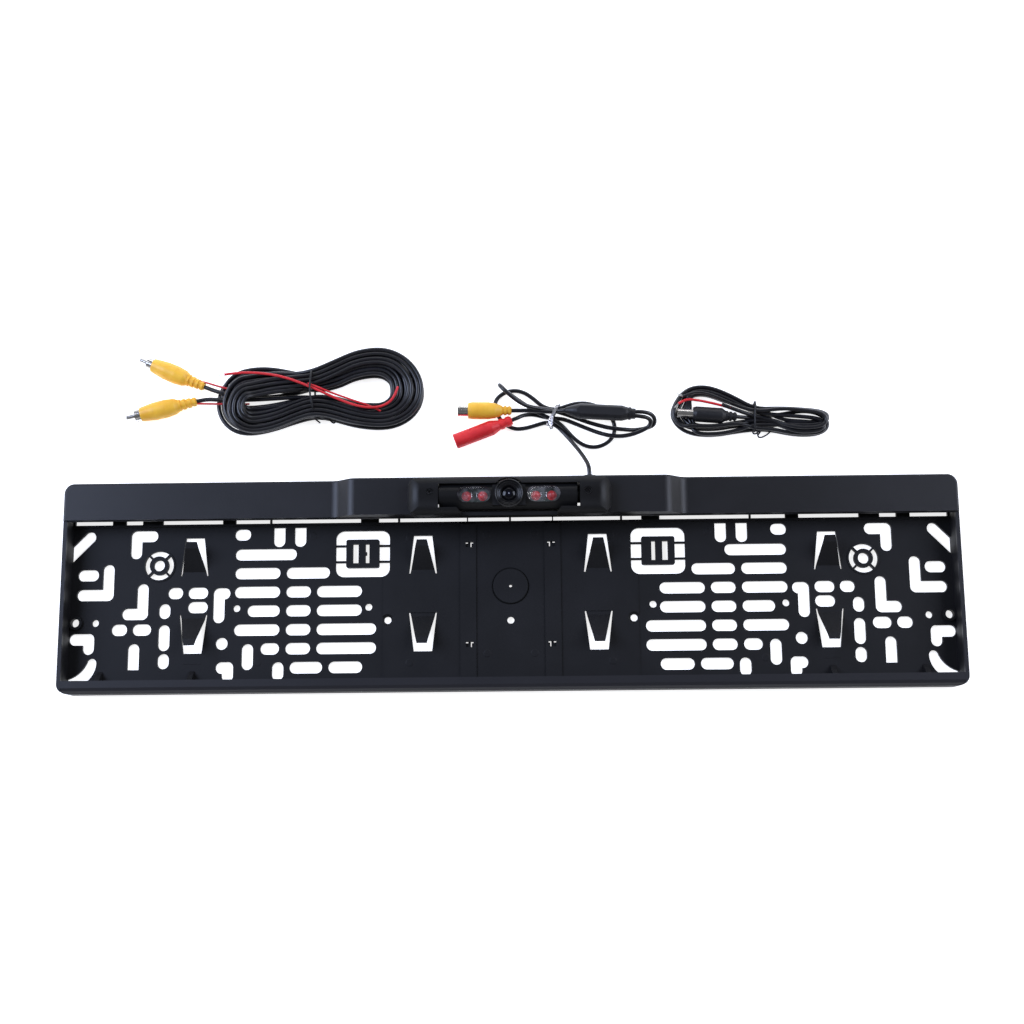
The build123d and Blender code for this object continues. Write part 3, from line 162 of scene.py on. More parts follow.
class Finish:
    """A material that is being built round one Principled shader."""

    def __init__(self, name, **settings):
        self.material = bpy.data.materials.new(name)
        self.material.use_nodes = True
        self.tree = self.material.node_tree
        self.tree.nodes.clear()
        output = self.tree.nodes.new("ShaderNodeOutputMaterial")
        self.shader = self.tree.nodes.new("ShaderNodeBsdfPrincipled")
        self.tree.links.new(self.shader.outputs[0], output.inputs["Surface"])
        place = self.tree.nodes.new("ShaderNodeTexCoord")
        self.place = Value(self, place.outputs["Object"])
        for setting, value in settings.items():
            self.set(SOCKETS.get(setting) or setting.replace("_", " ").title(), value)

    def put(self, socket, value):
        """Links a value to a socket, or sets the socket to a number or a colour."""
        if isinstance(value, Value):
            self.tree.links.new(value.socket, socket)
        elif isinstance(value, tuple) and len(value) == 3 and socket.type == "RGBA":
            socket.default_value = (*value, 1)
        else:
            socket.default_value = value

    def set(self, name, value):
        self.put(self.shader.inputs[name], value)

    def node(self, kind, settings, values, out=0):
        """One node: its settings first, then its sockets; returns one of its outputs."""
        node = self.tree.nodes.new(kind)
        for key, value in settings.items():
            setattr(node, key, value)
        for key, value in values.items():
            self.put(node.inputs[key], value)
        return Value(self, node.outputs[out])

    def spot(self, x, y, r):
        """1 within r of a point of the holder and of its mirror image, 0 outside."""
        across, along, _ = self.axes()
        dx, dy = across.math("ABSOLUTE") - x, along - y
        away = (dx * dx + dy * dy).math("SQRT")
        return 1 - away.smooth(r - SPOT_EDGE, r + SPOT_EDGE)

    def noise(self, scale, detail=3.0, rough=0.55):
        values = {"Vector": self.place, "Scale": scale, "Detail": detail, "Roughness": rough}
        return self.node("ShaderNodeTexNoise", {}, values)

    def mix(self, share, a, b):
        """Colour a where share is 0 and b where it is 1."""
        return self.node("ShaderNodeMix", {"data_type": "RGBA", "clamp_factor": True},
                         {"Factor": share, 6: a, 7: b}, 2)

    def axes(self):
        """The three coordinates of the object's own space."""
        node = self.tree.nodes.new("ShaderNodeSeparateXYZ")
        self.put(node.inputs[0], self.place)
        return [Value(self, out) for out in node.outputs]

    def from_lens_axis(self):
        """Distance from the lens axis at rest."""
        place = self.node("ShaderNodeVectorMath", {"operation": "SUBTRACT"},
                          {0: self.place, 1: LENS_AT})
        flat = self.node("ShaderNodeVectorMath", {"operation": "MULTIPLY"},
                         {0: place, 1: (1.0, 1.0, 0.0)})
        return self.node("ShaderNodeVectorMath", {"operation": "LENGTH"}, {0: flat}, "Value")

    def bump(self, height, depth, strength, normal=None):
        """Raises the surface by a height, over an earlier bump if one is given."""
        values = {"Height": height, "Distance": depth, "Strength": strength}
        if normal is not None:
            values["Normal"] = normal
        bumped = self.node("ShaderNodeBump", {}, values)
        self.set("Normal", bumped)
        return bumped


# ---- finishes ------------------------------------------------------------------------------------
FLOW = (14, 3, 0.6)  # scale, detail and roughness of the flow marks in moulded plastic
RIM_FADE = 0.002  # height over which the rims' smoother finish and painted light take over
RIM_PAINTED_LIGHT = 2.1  # how much lighter the rims are painted: painted light
GROOVE_SHADE = 0.15  # share of the floor's colour that is left in the disc's groove: painted shade
POLISHED = (1.5, 8.0)  # from the middle of the housing's height: end of the full polish, and of all
RING_PITCH = 0.00085  # of the turned rings round the lens
EJECTOR_R = 2.1
EJECTORS = (  # on the floor, between its openings; mirrored
    (14.0, 31.0), (14.0, -40.0), (60.0, 30.0), (60.0, -45.0), (118.0, 31.5), (150.0, -44.0),
    (205.0, -40.0), (226.0, 30.0))
CORE_LINE = (189.0, -44.5, 5.0)  # middle X and Y, half length; mirrored
CORE_END = 0.3  # how far the line fades at its ends
CORE_WIDTH = (0.1, 0.25)  # from its middle: where it starts to fade, and where it is gone
DISC_GROOVE = (10.2, 11.0)  # inner and outer radius
GLASS_PAINTED_GLINT = (0.0002, 0.0004)  # radii on the lens between which each of its looks fades
GLASS_MIDDLE = (0.0, 0.0022)
GLASS_RING = ((0.0024, 0.0027), (0.0029, 0.0032))
GLASS_RIM = (0.0040, 0.0046)


def disc_groove(f):
    """1 in the groove round the drilling disc, 0 elsewhere."""
    return f.spot(0, 0, DISC_GROOVE[1] * MM) - f.spot(0, 0, DISC_GROOVE[0] * MM)


def tool_marks(f):
    """Ejector pins, core lines and the disc's groove in the holder's floor, as heights."""
    height = 0
    for x, y in EJECTORS:
        height = height + f.spot(x * MM, y * MM, EJECTOR_R * MM)
    middle_x, middle_y, half = (v * MM for v in CORE_LINE)
    across, along, _ = f.axes()
    span = (across.math("ABSOLUTE") - middle_x).math("ABSOLUTE")
    away = (along - middle_y).math("ABSOLUTE")
    core = 1 - span.smooth(half, half + CORE_END * MM)
    line = 1 - away.smooth(*(v * MM for v in CORE_WIDTH))
    return height + core * line - disc_groove(f)


def lens_rings(f):
    """Fine turned rings round the lens, as heights."""
    away = f.from_lens_axis()
    return (away * (2 * math.pi / RING_PITCH)).math("SINE") * 0.5


def satin_and_painted_light_rim(f, z, color, light, rough):
    """Colour and gloss of a tray whose rims above height z are smoother and painted lighter
    (painted light), with painted shade in the disc's groove.
    """
    high = f.axes()[2].smooth(z - RIM_FADE, z)
    shade = f.noise(30, 3, 0.6).smooth(0.3, 0.75)
    groove = disc_groove(f)
    # the disc's groove is painted darker: painted shade
    floor = f.mix(groove, f.mix(shade, color, light), tuple(c * GROOVE_SHADE for c in color))
    # the rims above height z are painted lighter: painted light on their tops
    f.set("Base Color", f.mix(high, floor, tuple(c * RIM_PAINTED_LIGHT for c in light)))
    f.set("Roughness", rough - high * 0.16 + shade * 0.05 + groove * 0.3)


def hand_polish(f, flow, rough):
    """Gloss of the housing, smoother along the middle of its height than toward its edges."""
    height = (f.axes()[1] - LENS_AT[1]).math("ABSOLUTE")
    edges = height.smooth(*(v * MM for v in POLISHED))
    f.set("Roughness", rough + edges * 0.2 + flow * 0.06)


def moulded(name, color, light, rough, grain=900.0, specular=0.35, marks=None, rim=None,
            polish=False):
    """Moulded plastic: fine grain with flow marks and rubs, or a rim with painted light, or a
    polish, and marks.
    """
    f = Finish(name, ior=1.5, specular=specular)
    flow = f.noise(*FLOW)
    if rim:
        satin_and_painted_light_rim(f, rim, color, light, rough)
    else:
        f.set("Base Color", f.mix(flow.smooth(0.35, 0.75), color, light))
    if polish:
        hand_polish(f, flow, rough)
    elif not rim:
        rubs = f.noise(120, 5, 0.7).smooth(0.62, 0.8)
        f.set("Roughness", rough + flow * 0.08 + rubs * 0.06 - 0.04)
    grained = f.bump(f.noise(grain, 2, 0.5), 0.00006, 0.5)
    if marks:
        f.bump(marks(f), 0.00025, 0.6, grained)
    return f.material


def rubbery(name, color, light, rough):
    """Cable jacket or soft rubber: soft gloss with a faint haze."""
    f = Finish(name, ior=1.48)
    haze = f.noise(60, 4, 0.6)
    skin = f.noise(1500, 2, 0.5)
    f.set("Base Color", f.mix(haze.smooth(0.3, 0.8), color, light))
    f.set("Roughness", rough + haze * 0.12 - 0.06)
    f.bump(skin, 0.00004, 0.35)
    return f.material


def soft_moulded(name, color, deep, rough):
    """Soft coloured plug plastic, a little translucent, darker in random clouds."""
    f = Finish(name, ior=1.47)
    cloud = f.noise(90, 4, 0.6)
    skin = f.noise(700, 3, 0.6)
    f.set("Base Color", f.mix(cloud.smooth(0.3, 0.75), color, deep))
    f.set("Roughness", rough + cloud * 0.1)
    f.set("Subsurface Weight", 0.12)
    f.set("Subsurface Radius", (0.004, 0.002, 0.001))
    f.bump(skin, 0.00008, 0.3)
    return f.material


def plated(name, color, rough):
    """Nickel plate with turning marks."""
    f = Finish(name, metallic=1.0)
    cloud = f.noise(200, 4, 0.6)
    f.set("Base Color", f.mix(cloud.smooth(0.3, 0.8), color, tuple(c * 0.82 for c in color)))
    f.set("Roughness", rough + cloud * 0.12)
    f.bump(f.noise(1600, 2, 0.5), 0.00003, 0.3)
    return f.material


def blackened(name):
    """Blackened steel with patches of bare metal."""
    f = Finish(name, metallic=0.8)
    worn = f.noise(700, 4, 0.7).smooth(0.55, 0.75)
    f.set("Base Color", f.mix(worn, (0.012, 0.012, 0.013), (0.12, 0.12, 0.125)))
    f.set("Roughness", 0.35 + worn * 0.15)
    f.bump(worn, 0.00004, 0.3)
    return f.material


def lens_glass(name):
    """Dark coated glass: a painted glint, a ring of the element below, a rim and a faint tint."""
    f = Finish(name, ior=1.5, specular=0.2, coat_weight=0.15, coat_roughness=0.03)
    away = f.from_lens_axis()
    glint = 1 - away.smooth(*GLASS_PAINTED_GLINT)
    ring = away.smooth(*GLASS_RING[0]) - away.smooth(*GLASS_RING[1])
    rim = away.smooth(*GLASS_RIM)
    tint = f.mix(away.smooth(*GLASS_MIDDLE), (0.006, 0.007, 0.016), (0.002, 0.002, 0.003))
    # a painted glint: a light spot at the middle of the lens
    tint = f.mix(glint, tint, (0.55, 0.56, 0.6))
    f.set("Base Color", f.mix(ring * 0.5 + rim, tint, (0.020, 0.020, 0.022)))
    f.set("Roughness", 0.05 + f.noise(160, 2, 0.5) * 0.04)
    return f.material


def clear_window(name):
    """Clear moulded cover with faint swirls."""
    f = Finish(name, ior=1.45, coat_weight=0.4, coat_roughness=0.05)
    swirl = f.noise(220, 3, 0.6)
    f.set("Base Color", f.mix(swirl.smooth(0.35, 0.7), (0.03, 0.03, 0.034), (0.32, 0.31, 0.33)))
    f.set("Roughness", 0.06 + swirl * 0.06)
    f.set("Alpha", 0.08 + swirl * 0.24)
    f.bump(swirl, 0.0001, 0.15)
    return f.material


def led_epoxy(name):
    """Red epoxy of an LED dome, with a faint painted glow of its own."""
    # the emission is a painted glow: the LEDs are not lit
    f = Finish(name, ior=1.5, coat_weight=0.6, coat_roughness=0.05, emission_strength=0.30)
    cloud = f.noise(300, 3, 0.6)
    red = f.mix(cloud.smooth(0.3, 0.7), (0.80, 0.045, 0.050), (0.34, 0.008, 0.012))
    f.set("Base Color", red)
    # the red also colours the painted glow
    f.set("Emission Color", red)
    f.set("Roughness", 0.15 + cloud * 0.1)
    return f.material


def circuit(name):
    """Solder mask with traces."""
    f = Finish(name, coat_weight=0.4, coat_roughness=0.2)
    traces = f.node("ShaderNodeTexBrick", {"offset": 0.5}, {
        "Vector": f.place, "Scale": 420.0, "Mortar Size": 0.06, "Color1": (0, 0, 0),
        "Color2": (0, 0, 0), "Mortar": (1, 1, 1)})
    f.set("Base Color", f.mix(traces, (0.008, 0.025, 0.016), (0.03, 0.09, 0.05)))
    f.set("Roughness", 0.4 + f.noise(200) * 0.1)
    return f.material


def floor_finish():
    """White sheet, lit from below."""
    f = Finish("floor_sheet", emission_strength=0.8)
    cloud = f.noise(3, 2, 0.5)
    f.set("Base Color", f.mix(cloud, (0.93, 0.93, 0.93), (0.95, 0.95, 0.95)))
    f.set("Emission Color", (1.0, 1.0, 1.0))
    f.set("Roughness", 0.8 + cloud * 0.1)
    return f.material


FINISHES = {
    "holder": moulded("holder_plastic", (0.0050, 0.0050, 0.0060), (0.0080, 0.0080, 0.0095), 0.58,
                      specular=0.24, marks=tool_marks, rim=0.0145),
    "band": moulded("band_plastic", (0.0060, 0.0060, 0.0076), (0.0095, 0.0095, 0.0120), 0.42),
    "housing": moulded("housing_plastic", (0.0032, 0.0032, 0.0036), (0.0055, 0.0055, 0.0062),
                       0.36, specular=0.22, polish=True),
    "gloss": moulded("gloss_plastic", (0.004, 0.004, 0.005), (0.007, 0.007, 0.008), 0.22,
                     grain=700, specular=0.3, marks=lens_rings),
    "module": moulded("module_plastic", (0.010, 0.010, 0.012), (0.018, 0.018, 0.020), 0.42),
    "jacket": rubbery("cable_jacket", (0.006, 0.006, 0.008), (0.012, 0.012, 0.015), 0.30),
    "red_wire": rubbery("red_wire", (0.55, 0.012, 0.02), (0.7, 0.03, 0.04), 0.35),
    "rubber": rubbery("soft_rubber", (0.010, 0.010, 0.010), (0.016, 0.016, 0.016), 0.6),
    "yellow": soft_moulded("yellow_plug", (0.90, 0.52, 0.05), (0.80, 0.41, 0.03), 0.38),
    "red": soft_moulded("red_plug", (0.80, 0.03, 0.035), (0.62, 0.015, 0.02), 0.42),
    "plated": plated("nickel_plate", (0.72, 0.71, 0.70), 0.16),
    "foil": plated("tie_foil", (0.90, 0.90, 0.96), 0.22),
    "black_tie": moulded("tie_plastic", (0.008, 0.008, 0.009), (0.014, 0.014, 0.016), 0.5),
    "steel": blackened("screw_steel"),
    "glass": lens_glass("coated_glass"),
    "window": clear_window("clear_cover"),
    "led": led_epoxy("led_epoxy"),
    "board": circuit("circuit_board"),
    "core": moulded("socket_core", (0.62, 0.61, 0.57), (0.7, 0.69, 0.65), 0.4),
    "chip": moulded("sensor_chip", (0.02, 0.02, 0.025), (0.03, 0.03, 0.04), 0.2),
}

NODE_FINISH = {
    "plate_holder": "holder", "top_cover": "band", "breakoff_clip_left": "holder",
    "breakoff_clip_right": "holder", "camera_housing": "housing", "housing_base": "housing",
    "camera_barrel": "housing", "barrel_back": "housing", "lens_bezel": "gloss",
    "lens_housing": "gloss", "lens_mount": "gloss", "housing_screws": "steel",
    "barrel_screws": "steel", "cable_grommet": "rubber", "lens_seal": "rubber",
    "friction_ring_left": "rubber", "friction_ring_right": "rubber", "inner_lead": "jacket",
    "front_lens": "glass", "rear_lens": "glass", "ir_filter": "glass",
    "led_window_left": "window", "led_window_right": "window", "sensor_board": "board",
    "led_board_left": "board", "led_board_right": "board", "image_sensor": "chip",
    "pigtail_tube": "jacket", "pigtail_hank": "jacket", "splitter_module": "module",
    "rca_socket_body": "yellow", "rca_socket_ring": "plated", "rca_socket_core": "core",
    "dc_socket_body": "red", "dc_socket_pin": "plated", "pigtail_tie": "foil",
    "video_hank": "jacket", "video_tie": "black_tie", "trigger_wire": "red_wire",
    "video_tail_upper": "jacket", "video_tail_lower": "jacket", "power_hank": "jacket",
    "power_tie": "black_tie", "dc_plug_body": "module", "dc_plug_barrel": "plated",
    "power_lead_red": "red_wire", "power_lead_black": "jacket",
}
for which in ("upper", "lower"):
    NODE_FINISH[f"rca_plug_{which}_body"] = "yellow"
    NODE_FINISH[f"rca_plug_{which}_shell"] = "plated"
    NODE_FINISH[f"rca_plug_{which}_pin"] = "plated"
for number in range(1, 5):
    NODE_FINISH[f"ir_led_{number}"] = "led"


def dress_nodes():
    for name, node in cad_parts.items():
        node.data.materials.clear()
        node.data.materials.append(FINISHES[NODE_FINISH[name]])


def mesh_of(shape, name):
    """Turns a worked shape into a mesh."""
    mesh = bpy.data.meshes.new(name)
    shape.to_mesh(mesh)
    shape.free()
    return mesh


FLOOR_REACH = 6
FLOOR_GAP = 0.0002  # under the object


def add_floor():
    shape = bmesh.new()
    bmesh.ops.create_grid(shape, x_segments=1, y_segments=1, size=FLOOR_REACH)
    floor = bpy.data.objects.new("floor", mesh_of(shape, "floor"))
    floor.location.z = CAD_BOX[0][2] - FLOOR_GAP
    bpy.context.scene.collection.objects.link(floor)
    floor.data.materials.append(floor_finish())


# ---- cables --------------------------------------------------------------------------------------
PIGTAIL_D = 2.6
VIDEO_D = 2.6
POWER_D = 2.4
WIRE_D = 1.6
TRIGGER_D = 1.2

CAMERA_CABLE = (  # grommet, through the tie, round both loops and back to the splitter
    (47.6, 63.2, 18.8), (47.6, 68.6, 18.8), (45.2, 74.4, 14.6), (41.8, 81.0, 8.8),
    (37.8, 87.2, 4.3), (33.4, 93.2, 1.8), (28.6, 98.4, 1.4), (23.0, 100.4, 1.4),
    (16.8, 98.6, 1.4), (10.8, 96.8, 1.4), (4.2, 96.0, 1.4), (-1.8, 98.4, 1.4),
    (-6.2, 103.4, 1.4), (-8.8, 109.6, 1.4), (-8.0, 115.0, 1.4), (-3.0, 119.2, 1.4),
    (3.2, 120.6, 1.4), (9.4, 119.2, 1.4), (14.8, 115.2, 1.4), (20.4, 110.0, 1.4),
    (27.3, 107.9, 1.4), (33.4, 109.6, 1.4), (40.0, 111.8, 1.4), (48.0, 112.0, 1.4),
    (56.0, 109.0, 1.4), (62.0, 103.4, 1.4), (64.4, 97.6, 1.4), (63.4, 91.4, 1.4),
    (59.6, 86.8, 1.4), (53.2, 84.2, 1.4), (46.8, 84.8, 1.4), (41.2, 88.0, 1.5),
    (36.4, 92.8, 2.2), (32.0, 97.8, 3.4), (27.6, 100.8, 4.0), (22.6, 103.0, 4.3),
    (16.6, 106.2, 4.3), (10.0, 110.6, 4.3), (3.2, 115.4, 4.4), (-1.4, 119.0, 4.5),
    (-4.8, 121.8, 7.6), (-5.8, 121.4, 12.6), (-3.6, 118.0, 15.8), (1.0, 113.8, 15.4),
    (6.4, 110.0, 13.2), (12.4, 107.6, 10.6), (19.8, 107.2, 7.4), (27.3, 106.6, 4.6),
    (33.2, 104.9, 4.2), (40.4, 102.4, 3.4), (48.0, 99.5, 3.0), (56.0, 96.9, 3.6),
    (62.0, 95.3, 4.4), (69.0, 94.6, 4.2), (76.0, 94.5, 2.0), (82.6, 95.6, 1.4),
    (88.4, 97.6, 2.4), (88.0, 101.8, 6.4), (83.0, 104.2, 9.4), (76.0, 104.1, 9.8))
VIDEO_LEAD = (
    (34.0, 105.4, 9.8), (30.6, 105.4, 8.8), (26.4, 105.3, 7.2), (20.8, 105.6, 7.2),
    (14.6, 106.0, 8.0), (8.4, 106.1, 8.3), (1.6, 106.1, 8.3))
POWER_LEAD = (
    (76.0, 101.5, 9.8), (81.2, 101.2, 9.6), (85.6, 99.8, 7.4), (85.4, 96.4, 5.2),
    (80.4, 93.6, 4.3), (74.0, 91.4, 3.4), (67.4, 90.2, 4.3), (60.4, 90.8, 4.3),
    (53.6, 93.2, 2.6), (46.0, 96.6, 1.5), (39.2, 99.6, 1.4), (33.0, 102.2, 1.4),
    (27.0, 102.6, 1.4), (21.0, 103.6, 1.4), (15.0, 105.2, 1.8), (8.8, 104.4, 3.8),
    (5.0, 102.0, 5.8), (1.6, 100.6, 6.2))
TRIGGER_ROUTE = (
    (-172.0, 129.4), (-163.0, 130.7), (-150.0, 130.2), (-137.5, 128.0), (-127.0, 124.3),
    (-118.4, 120.6), (-109.6, 116.4), (-101.2, 112.6), (-92.4, 109.2), (-82.6, 107.4),
    (-74.2, 109.0), (-68.6, 114.2), (-66.8, 120.6))
TRIGGER_Z = 13.5
RED_LEAD = (
    (134.0, 106.4, 7.6), (126.0, 108.6, 7.6), (119.0, 110.4, 7.5), (112.6, 111.6, 7.5),
    (107.0, 112.2, 7.5), (102.6, 109.4, 7.5))
BLACK_LEAD = (
    (134.2, 109.4, 7.6), (127.4, 112.6, 7.6), (120.6, 115.6, 7.5), (113.4, 116.6, 7.5),
    (108.8, 115.2, 7.5), (105.2, 113.8, 7.5))
UPPER_TRIGGER = (  # thin wires beside the two tails, and the strand beside the trigger line
    (-188.6, 127.6, 5.6), (-184.6, 126.5, 6.8), (-179.0, 124.4, 7.9), (-172.0, 122.3, 8.0),
    (-164.6, 120.6, 7.6), (-154.6, 119.8, 5.6))
LOWER_TRIGGER = (
    (-193.0, 113.6, 5.4), (-187.4, 113.4, 5.9), (-180.6, 113.1, 6.3), (-173.0, 112.8, 6.6),
    (-165.6, 112.7, 6.4), (-157.8, 112.9, 5.6))
TRIGGER_RETURN = (
    (-121.4, 123.5, 13.0), (-116.6, 121.6, 13.4), (-109.9, 118.6, 13.4), (-104.2, 116.3, 13.3),
    (-98.6, 114.3, 13.2), (-92.4, 112.0, 13.0), (-86.5, 110.2, 12.5), (-81.6, 108.2, 11.4),
    (-77.4, 106.2, 10.8))


def thread(curve, points):
    """Adds a smooth line to a curve; its control points are in millimetres."""
    line = curve.splines.new("NURBS")
    line.points.add(len(points) - 1)
    for control, place in zip(line.points, points):
        control.co = (*(c * MM for c in place), 1)
    return line


def round_curve(name, bevel, resolution):
    """An empty curve whose lines are round and capped."""
    curve = bpy.data.curves.new(name, "CURVE")
    curve.dimensions = "3D"
    curve.bevel_depth = bevel
    curve.bevel_resolution = 2
    curve.resolution_u = resolution
    curve.use_fill_caps = True
    return curve


def cord(name, points, d, finish="jacket", stands_for=()):
    """A cord from its first point, in place of the nodes that it stands for."""
    curve = round_curve(name, d / 2 * MM, 5)
    line = thread(curve, points)
    line.order_u = 3
    line.use_endpoint_u = True
    piece = bpy.data.objects.new(name, curve)
    bpy.context.scene.collection.objects.link(piece)
    curve.materials.append(FINISHES[finish])
    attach(piece, ROOT)
    if stands_for:
        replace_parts(piece, *stands_for)
    [c * MM for c in points[0]]


# One turn of the video hank, from the upper side of the waist over the right lobe and back
# round the left lobe: outermost line, the way inward in degrees, and how much of a layer's
# right and left inset counts there.
VIDEO_TURN = (
    (-118.2, 131.9, -90, 0.0, 0.0), (-106.0, 137.6, -81, 0.4, 0.0), (-91.0, 144.2, -99, 0.55, 0.0),
    (-74.0, 145.4, -109, 0.55, 0.0), (-60.0, 138.2, -136, 0.7, 0.0), (-51.9, 125.0, -170, 1.0, 0.0),
    (-52.3, 112.0, 171, 1.0, 0.0), (-60.0, 102.0, 152, 1.0, 0.0), (-73.2, 96.7, 127, 0.85, 0.0),
    (-92.0, 98.5, 96, 0.27, 0.0), (-108.0, 103.7, 84, 0.15, 0.0), (-118.2, 105.3, 90, 0.0, 0.0),
    (-130.0, 102.2, 90, 0.0, 0.4), (-144.0, 97.2, 90, 0.0, 0.8), (-158.0, 94.5, 90, 0.0, 1.0),
    (-168.4, 97.2, 60, 0.0, 1.0), (-175.8, 104.6, 30, 0.0, 1.0), (-178.2, 114.6, 0, 0.0, 1.0),
    (-175.6, 124.8, -30, 0.0, 1.0), (-168.2, 132.4, -60, 0.0, 1.0), (-158.0, 135.1, -90, 0.0, 1.0),
    (-146.0, 135.4, -90, 0.0, 0.8), (-131.0, 132.4, -90, 0.0, 0.4))
LEFT_END = range(15, 20)  # stations of a turn at the left end
# One layer of turns each, in the order of winding: level, turns, right inset, left inset and
# the left lobe's shift along Y and X.
VIDEO_LAYERS = (
    (0, 4, 1.0, 0.0, 0.0, 0.0), (1, 5, 8.4, 2.6, 2.8, 0.6), (3, 5, 7.6, 2.8, -2.8, 3.4),
    (4, 4, 0.6, 5.2, -5.4, 4.0), (2, 4, 4.6, 6.0, 0.8, 2.0))
LANE = 2.78  # between neighbouring turns
LEVEL = 2.42  # between neighbouring layers
VIDEO_FLOOR = VIDEO_D / 2 + 0.1  # height of the lowest layer's middle
TURN_SLACK = 0.5  # how far a turn strays, and how far each of its stations strays from that
STATION_SLACK = 0.25
LAST_LANE, LAST_LEVEL, LAST_INSET, LAST_STATION = 4, 2, 4.6, 12  # of the turn that ends the hank
VIDEO_START = (
    (-185.6, 124.0, 5.7), (-180.9, 121.9, 6.0), (-174.0, 119.6, 6.5), (-164.0, 117.6, 5.6),
    (-153.0, 117.4, 3.0), (-141.0, 118.6, 1.5), (-129.0, 120.4, 1.4))
VIDEO_END = (
    (-129.0, 116.6, 6.3), (-141.0, 116.0, 6.4), (-153.0, 115.4, 6.5), (-166.0, 115.2, 6.5),
    (-177.0, 115.6, 6.3), (-184.4, 116.2, 5.8), (-190.0, 115.0, 5.7))


def video_point(station, inward, z, drift=0.0, shift=0.0):
    x, y, way, _, left_share = station
    return (x + inward * math.cos(math.radians(way)) + left_share * shift,
            y + inward * math.sin(math.radians(way)) + left_share * drift, z)


def video_route():
    """All turns of the video hank between its two tails."""
    loose = random.Random(7)
    points = list(VIDEO_START)
    for number, (level, turns, right, left, drift, shift) in enumerate(VIDEO_LAYERS):
        lanes = range(turns) if number % 2 else range(turns - 1, -1, -1)
        for lane in lanes:
            slack = loose.uniform(-TURN_SLACK, TURN_SLACK)
            for at, station in enumerate(VIDEO_TURN):
                right_share, left_share = station[3:]
                stray = slack + loose.uniform(-STATION_SLACK, STATION_SLACK)
                inward = lane * LANE + right_share * right + left_share * left
                inward += (right_share + left_share) * stray
                rise = LEVEL if level > 1 and at in LEFT_END else 0
                z = VIDEO_FLOOR + level * LEVEL + rise
                points.append(video_point(station, inward, z, drift, shift))
    for station in VIDEO_TURN[:LAST_STATION]:
        inward = LAST_LANE * LANE + station[3] * LAST_INSET
        points.append(video_point(station, inward, VIDEO_FLOOR + LAST_LEVEL * LEVEL))
    return points + list(VIDEO_END)


POWER_TURN = (  # outermost line, the way inward, and the region of the hank
    (149.2, 109.2, -90, "waist"), (164.0, 107.7, -90, "right"), (178.0, 105.8, -95, "right"),
    (188.6, 103.6, -115, "right"), (193.8, 98.4, 180, "right"), (191.4, 92.6, 140, "right"),
    (183.0, 90.2, 95, "right"), (171.0, 90.8, 88, "right"), (159.0, 93.6, 90, "waist"),
    (149.2, 94.2, 90, "waist"), (138.0, 93.0, 92, "low"), (125.0, 90.8, 90, "low"),
    (111.6, 91.4, 85, "low"), (102.8, 95.8, 30, "end"), (98.5, 103.4, 0, "end"),
    (101.2, 111.4, -25, "end"), (106.2, 118.0, -50, "top"), (113.2, 121.4, -80, "top"),
    (123.2, 120.8, -105, "top"), (135.4, 115.4, -112, "top"))
# Inset and height of each turn in each region; at the right end also the middle of its loop
# and how flat it is. The last one is only half a turn.
POWER_TURNS = (
    {"waist": (0.0, 1.3), "right": (0.0, 1.3), "loop": (98.6, 1.0), "low": (0.0, 1.3),
     "end": (0.0, 1.3), "top": (0.0, 1.3)},
    {"waist": (2.5, 1.3), "right": (0.4, 3.7), "loop": (102.2, 0.52), "low": (3.6, 1.3),
     "end": (3.2, 1.3), "top": (2.5, 1.3)},
    {"waist": (5.0, 1.3), "right": (1.6, 1.3), "loop": (98.0, 0.56), "low": (4.4, 3.7),
     "end": (5.9, 1.3), "top": (5.0, 1.3)},
    {"waist": (0.3, 3.7), "right": (2.6, 3.7), "loop": (94.9, 0.50), "low": (4.6, 6.1),
     "end": (0.6, 3.7), "top": (0.6, 3.7)},
    {"waist": (2.8, 3.7), "right": (0.9, 6.1), "loop": (100.6, 0.62), "low": (0.2, 3.7),
     "end": (8.6, 1.3), "top": (3.1, 3.7)},
    {"waist": (5.3, 3.7), "right": (3.4, 6.1), "loop": (96.4, 0.60), "low": (5.8, 1.3),
     "end": (10.2, 1.3), "top": (5.2, 3.7)},
)
POWER_LAST = {"waist": (5.3, 6.1), "right": (2.2, 8.5), "loop": (99.2, 0.7)}
POWER_FIRST_STATION, POWER_LAST_STATION = 2, 8  # where the hank's line joins and leaves its turns
POWER_START = (
    (137.7, 101.4, 5.0), (143.0, 101.1, 4.0), (149.2, 101.4, 1.6), (160.0, 102.6, 1.3))
POWER_END = (
    (159.0, 99.4, 4.4), (149.2, 101.6, 4.4), (141.0, 104.0, 6.2), (133.6, 106.6, 7.4),
    (128.6, 108.4, 7.6))
LOOP_MIDDLE = 98.6  # of the outermost loop at the right end


def power_point(station, turn):
    x, y, way, region = station
    inset, z = turn[region]
    x += inset * math.cos(math.radians(way))
    if region == "right":
        middle, flat = turn["loop"]
        return x, middle + (y - LOOP_MIDDLE) * flat, z
    return x, y + inset * math.sin(math.radians(way)), z


def power_route():
    """All turns of the power hank, from its plug to where its leads part."""
    points = list(POWER_START)
    for number, turn in enumerate(POWER_TURNS):
        first = 0 if number else POWER_FIRST_STATION
        points += [power_point(station, turn) for station in POWER_TURN[first:]]
    points += [power_point(station, POWER_LAST) for station in POWER_TURN[:POWER_LAST_STATION]]
    return points + list(POWER_END)


# ---- ties and trim -------------------------------------------------------------------------------
def placed(name, mesh, finish, body):
    """Makes a finished mesh one piece of the object."""
    mesh.name = name
    mesh.materials.clear()
    mesh.materials.append(FINISHES[finish])
    piece = bpy.data.objects.new(name, mesh)
    bpy.context.scene.collection.objects.link(piece)
    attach(piece, body)
    return piece


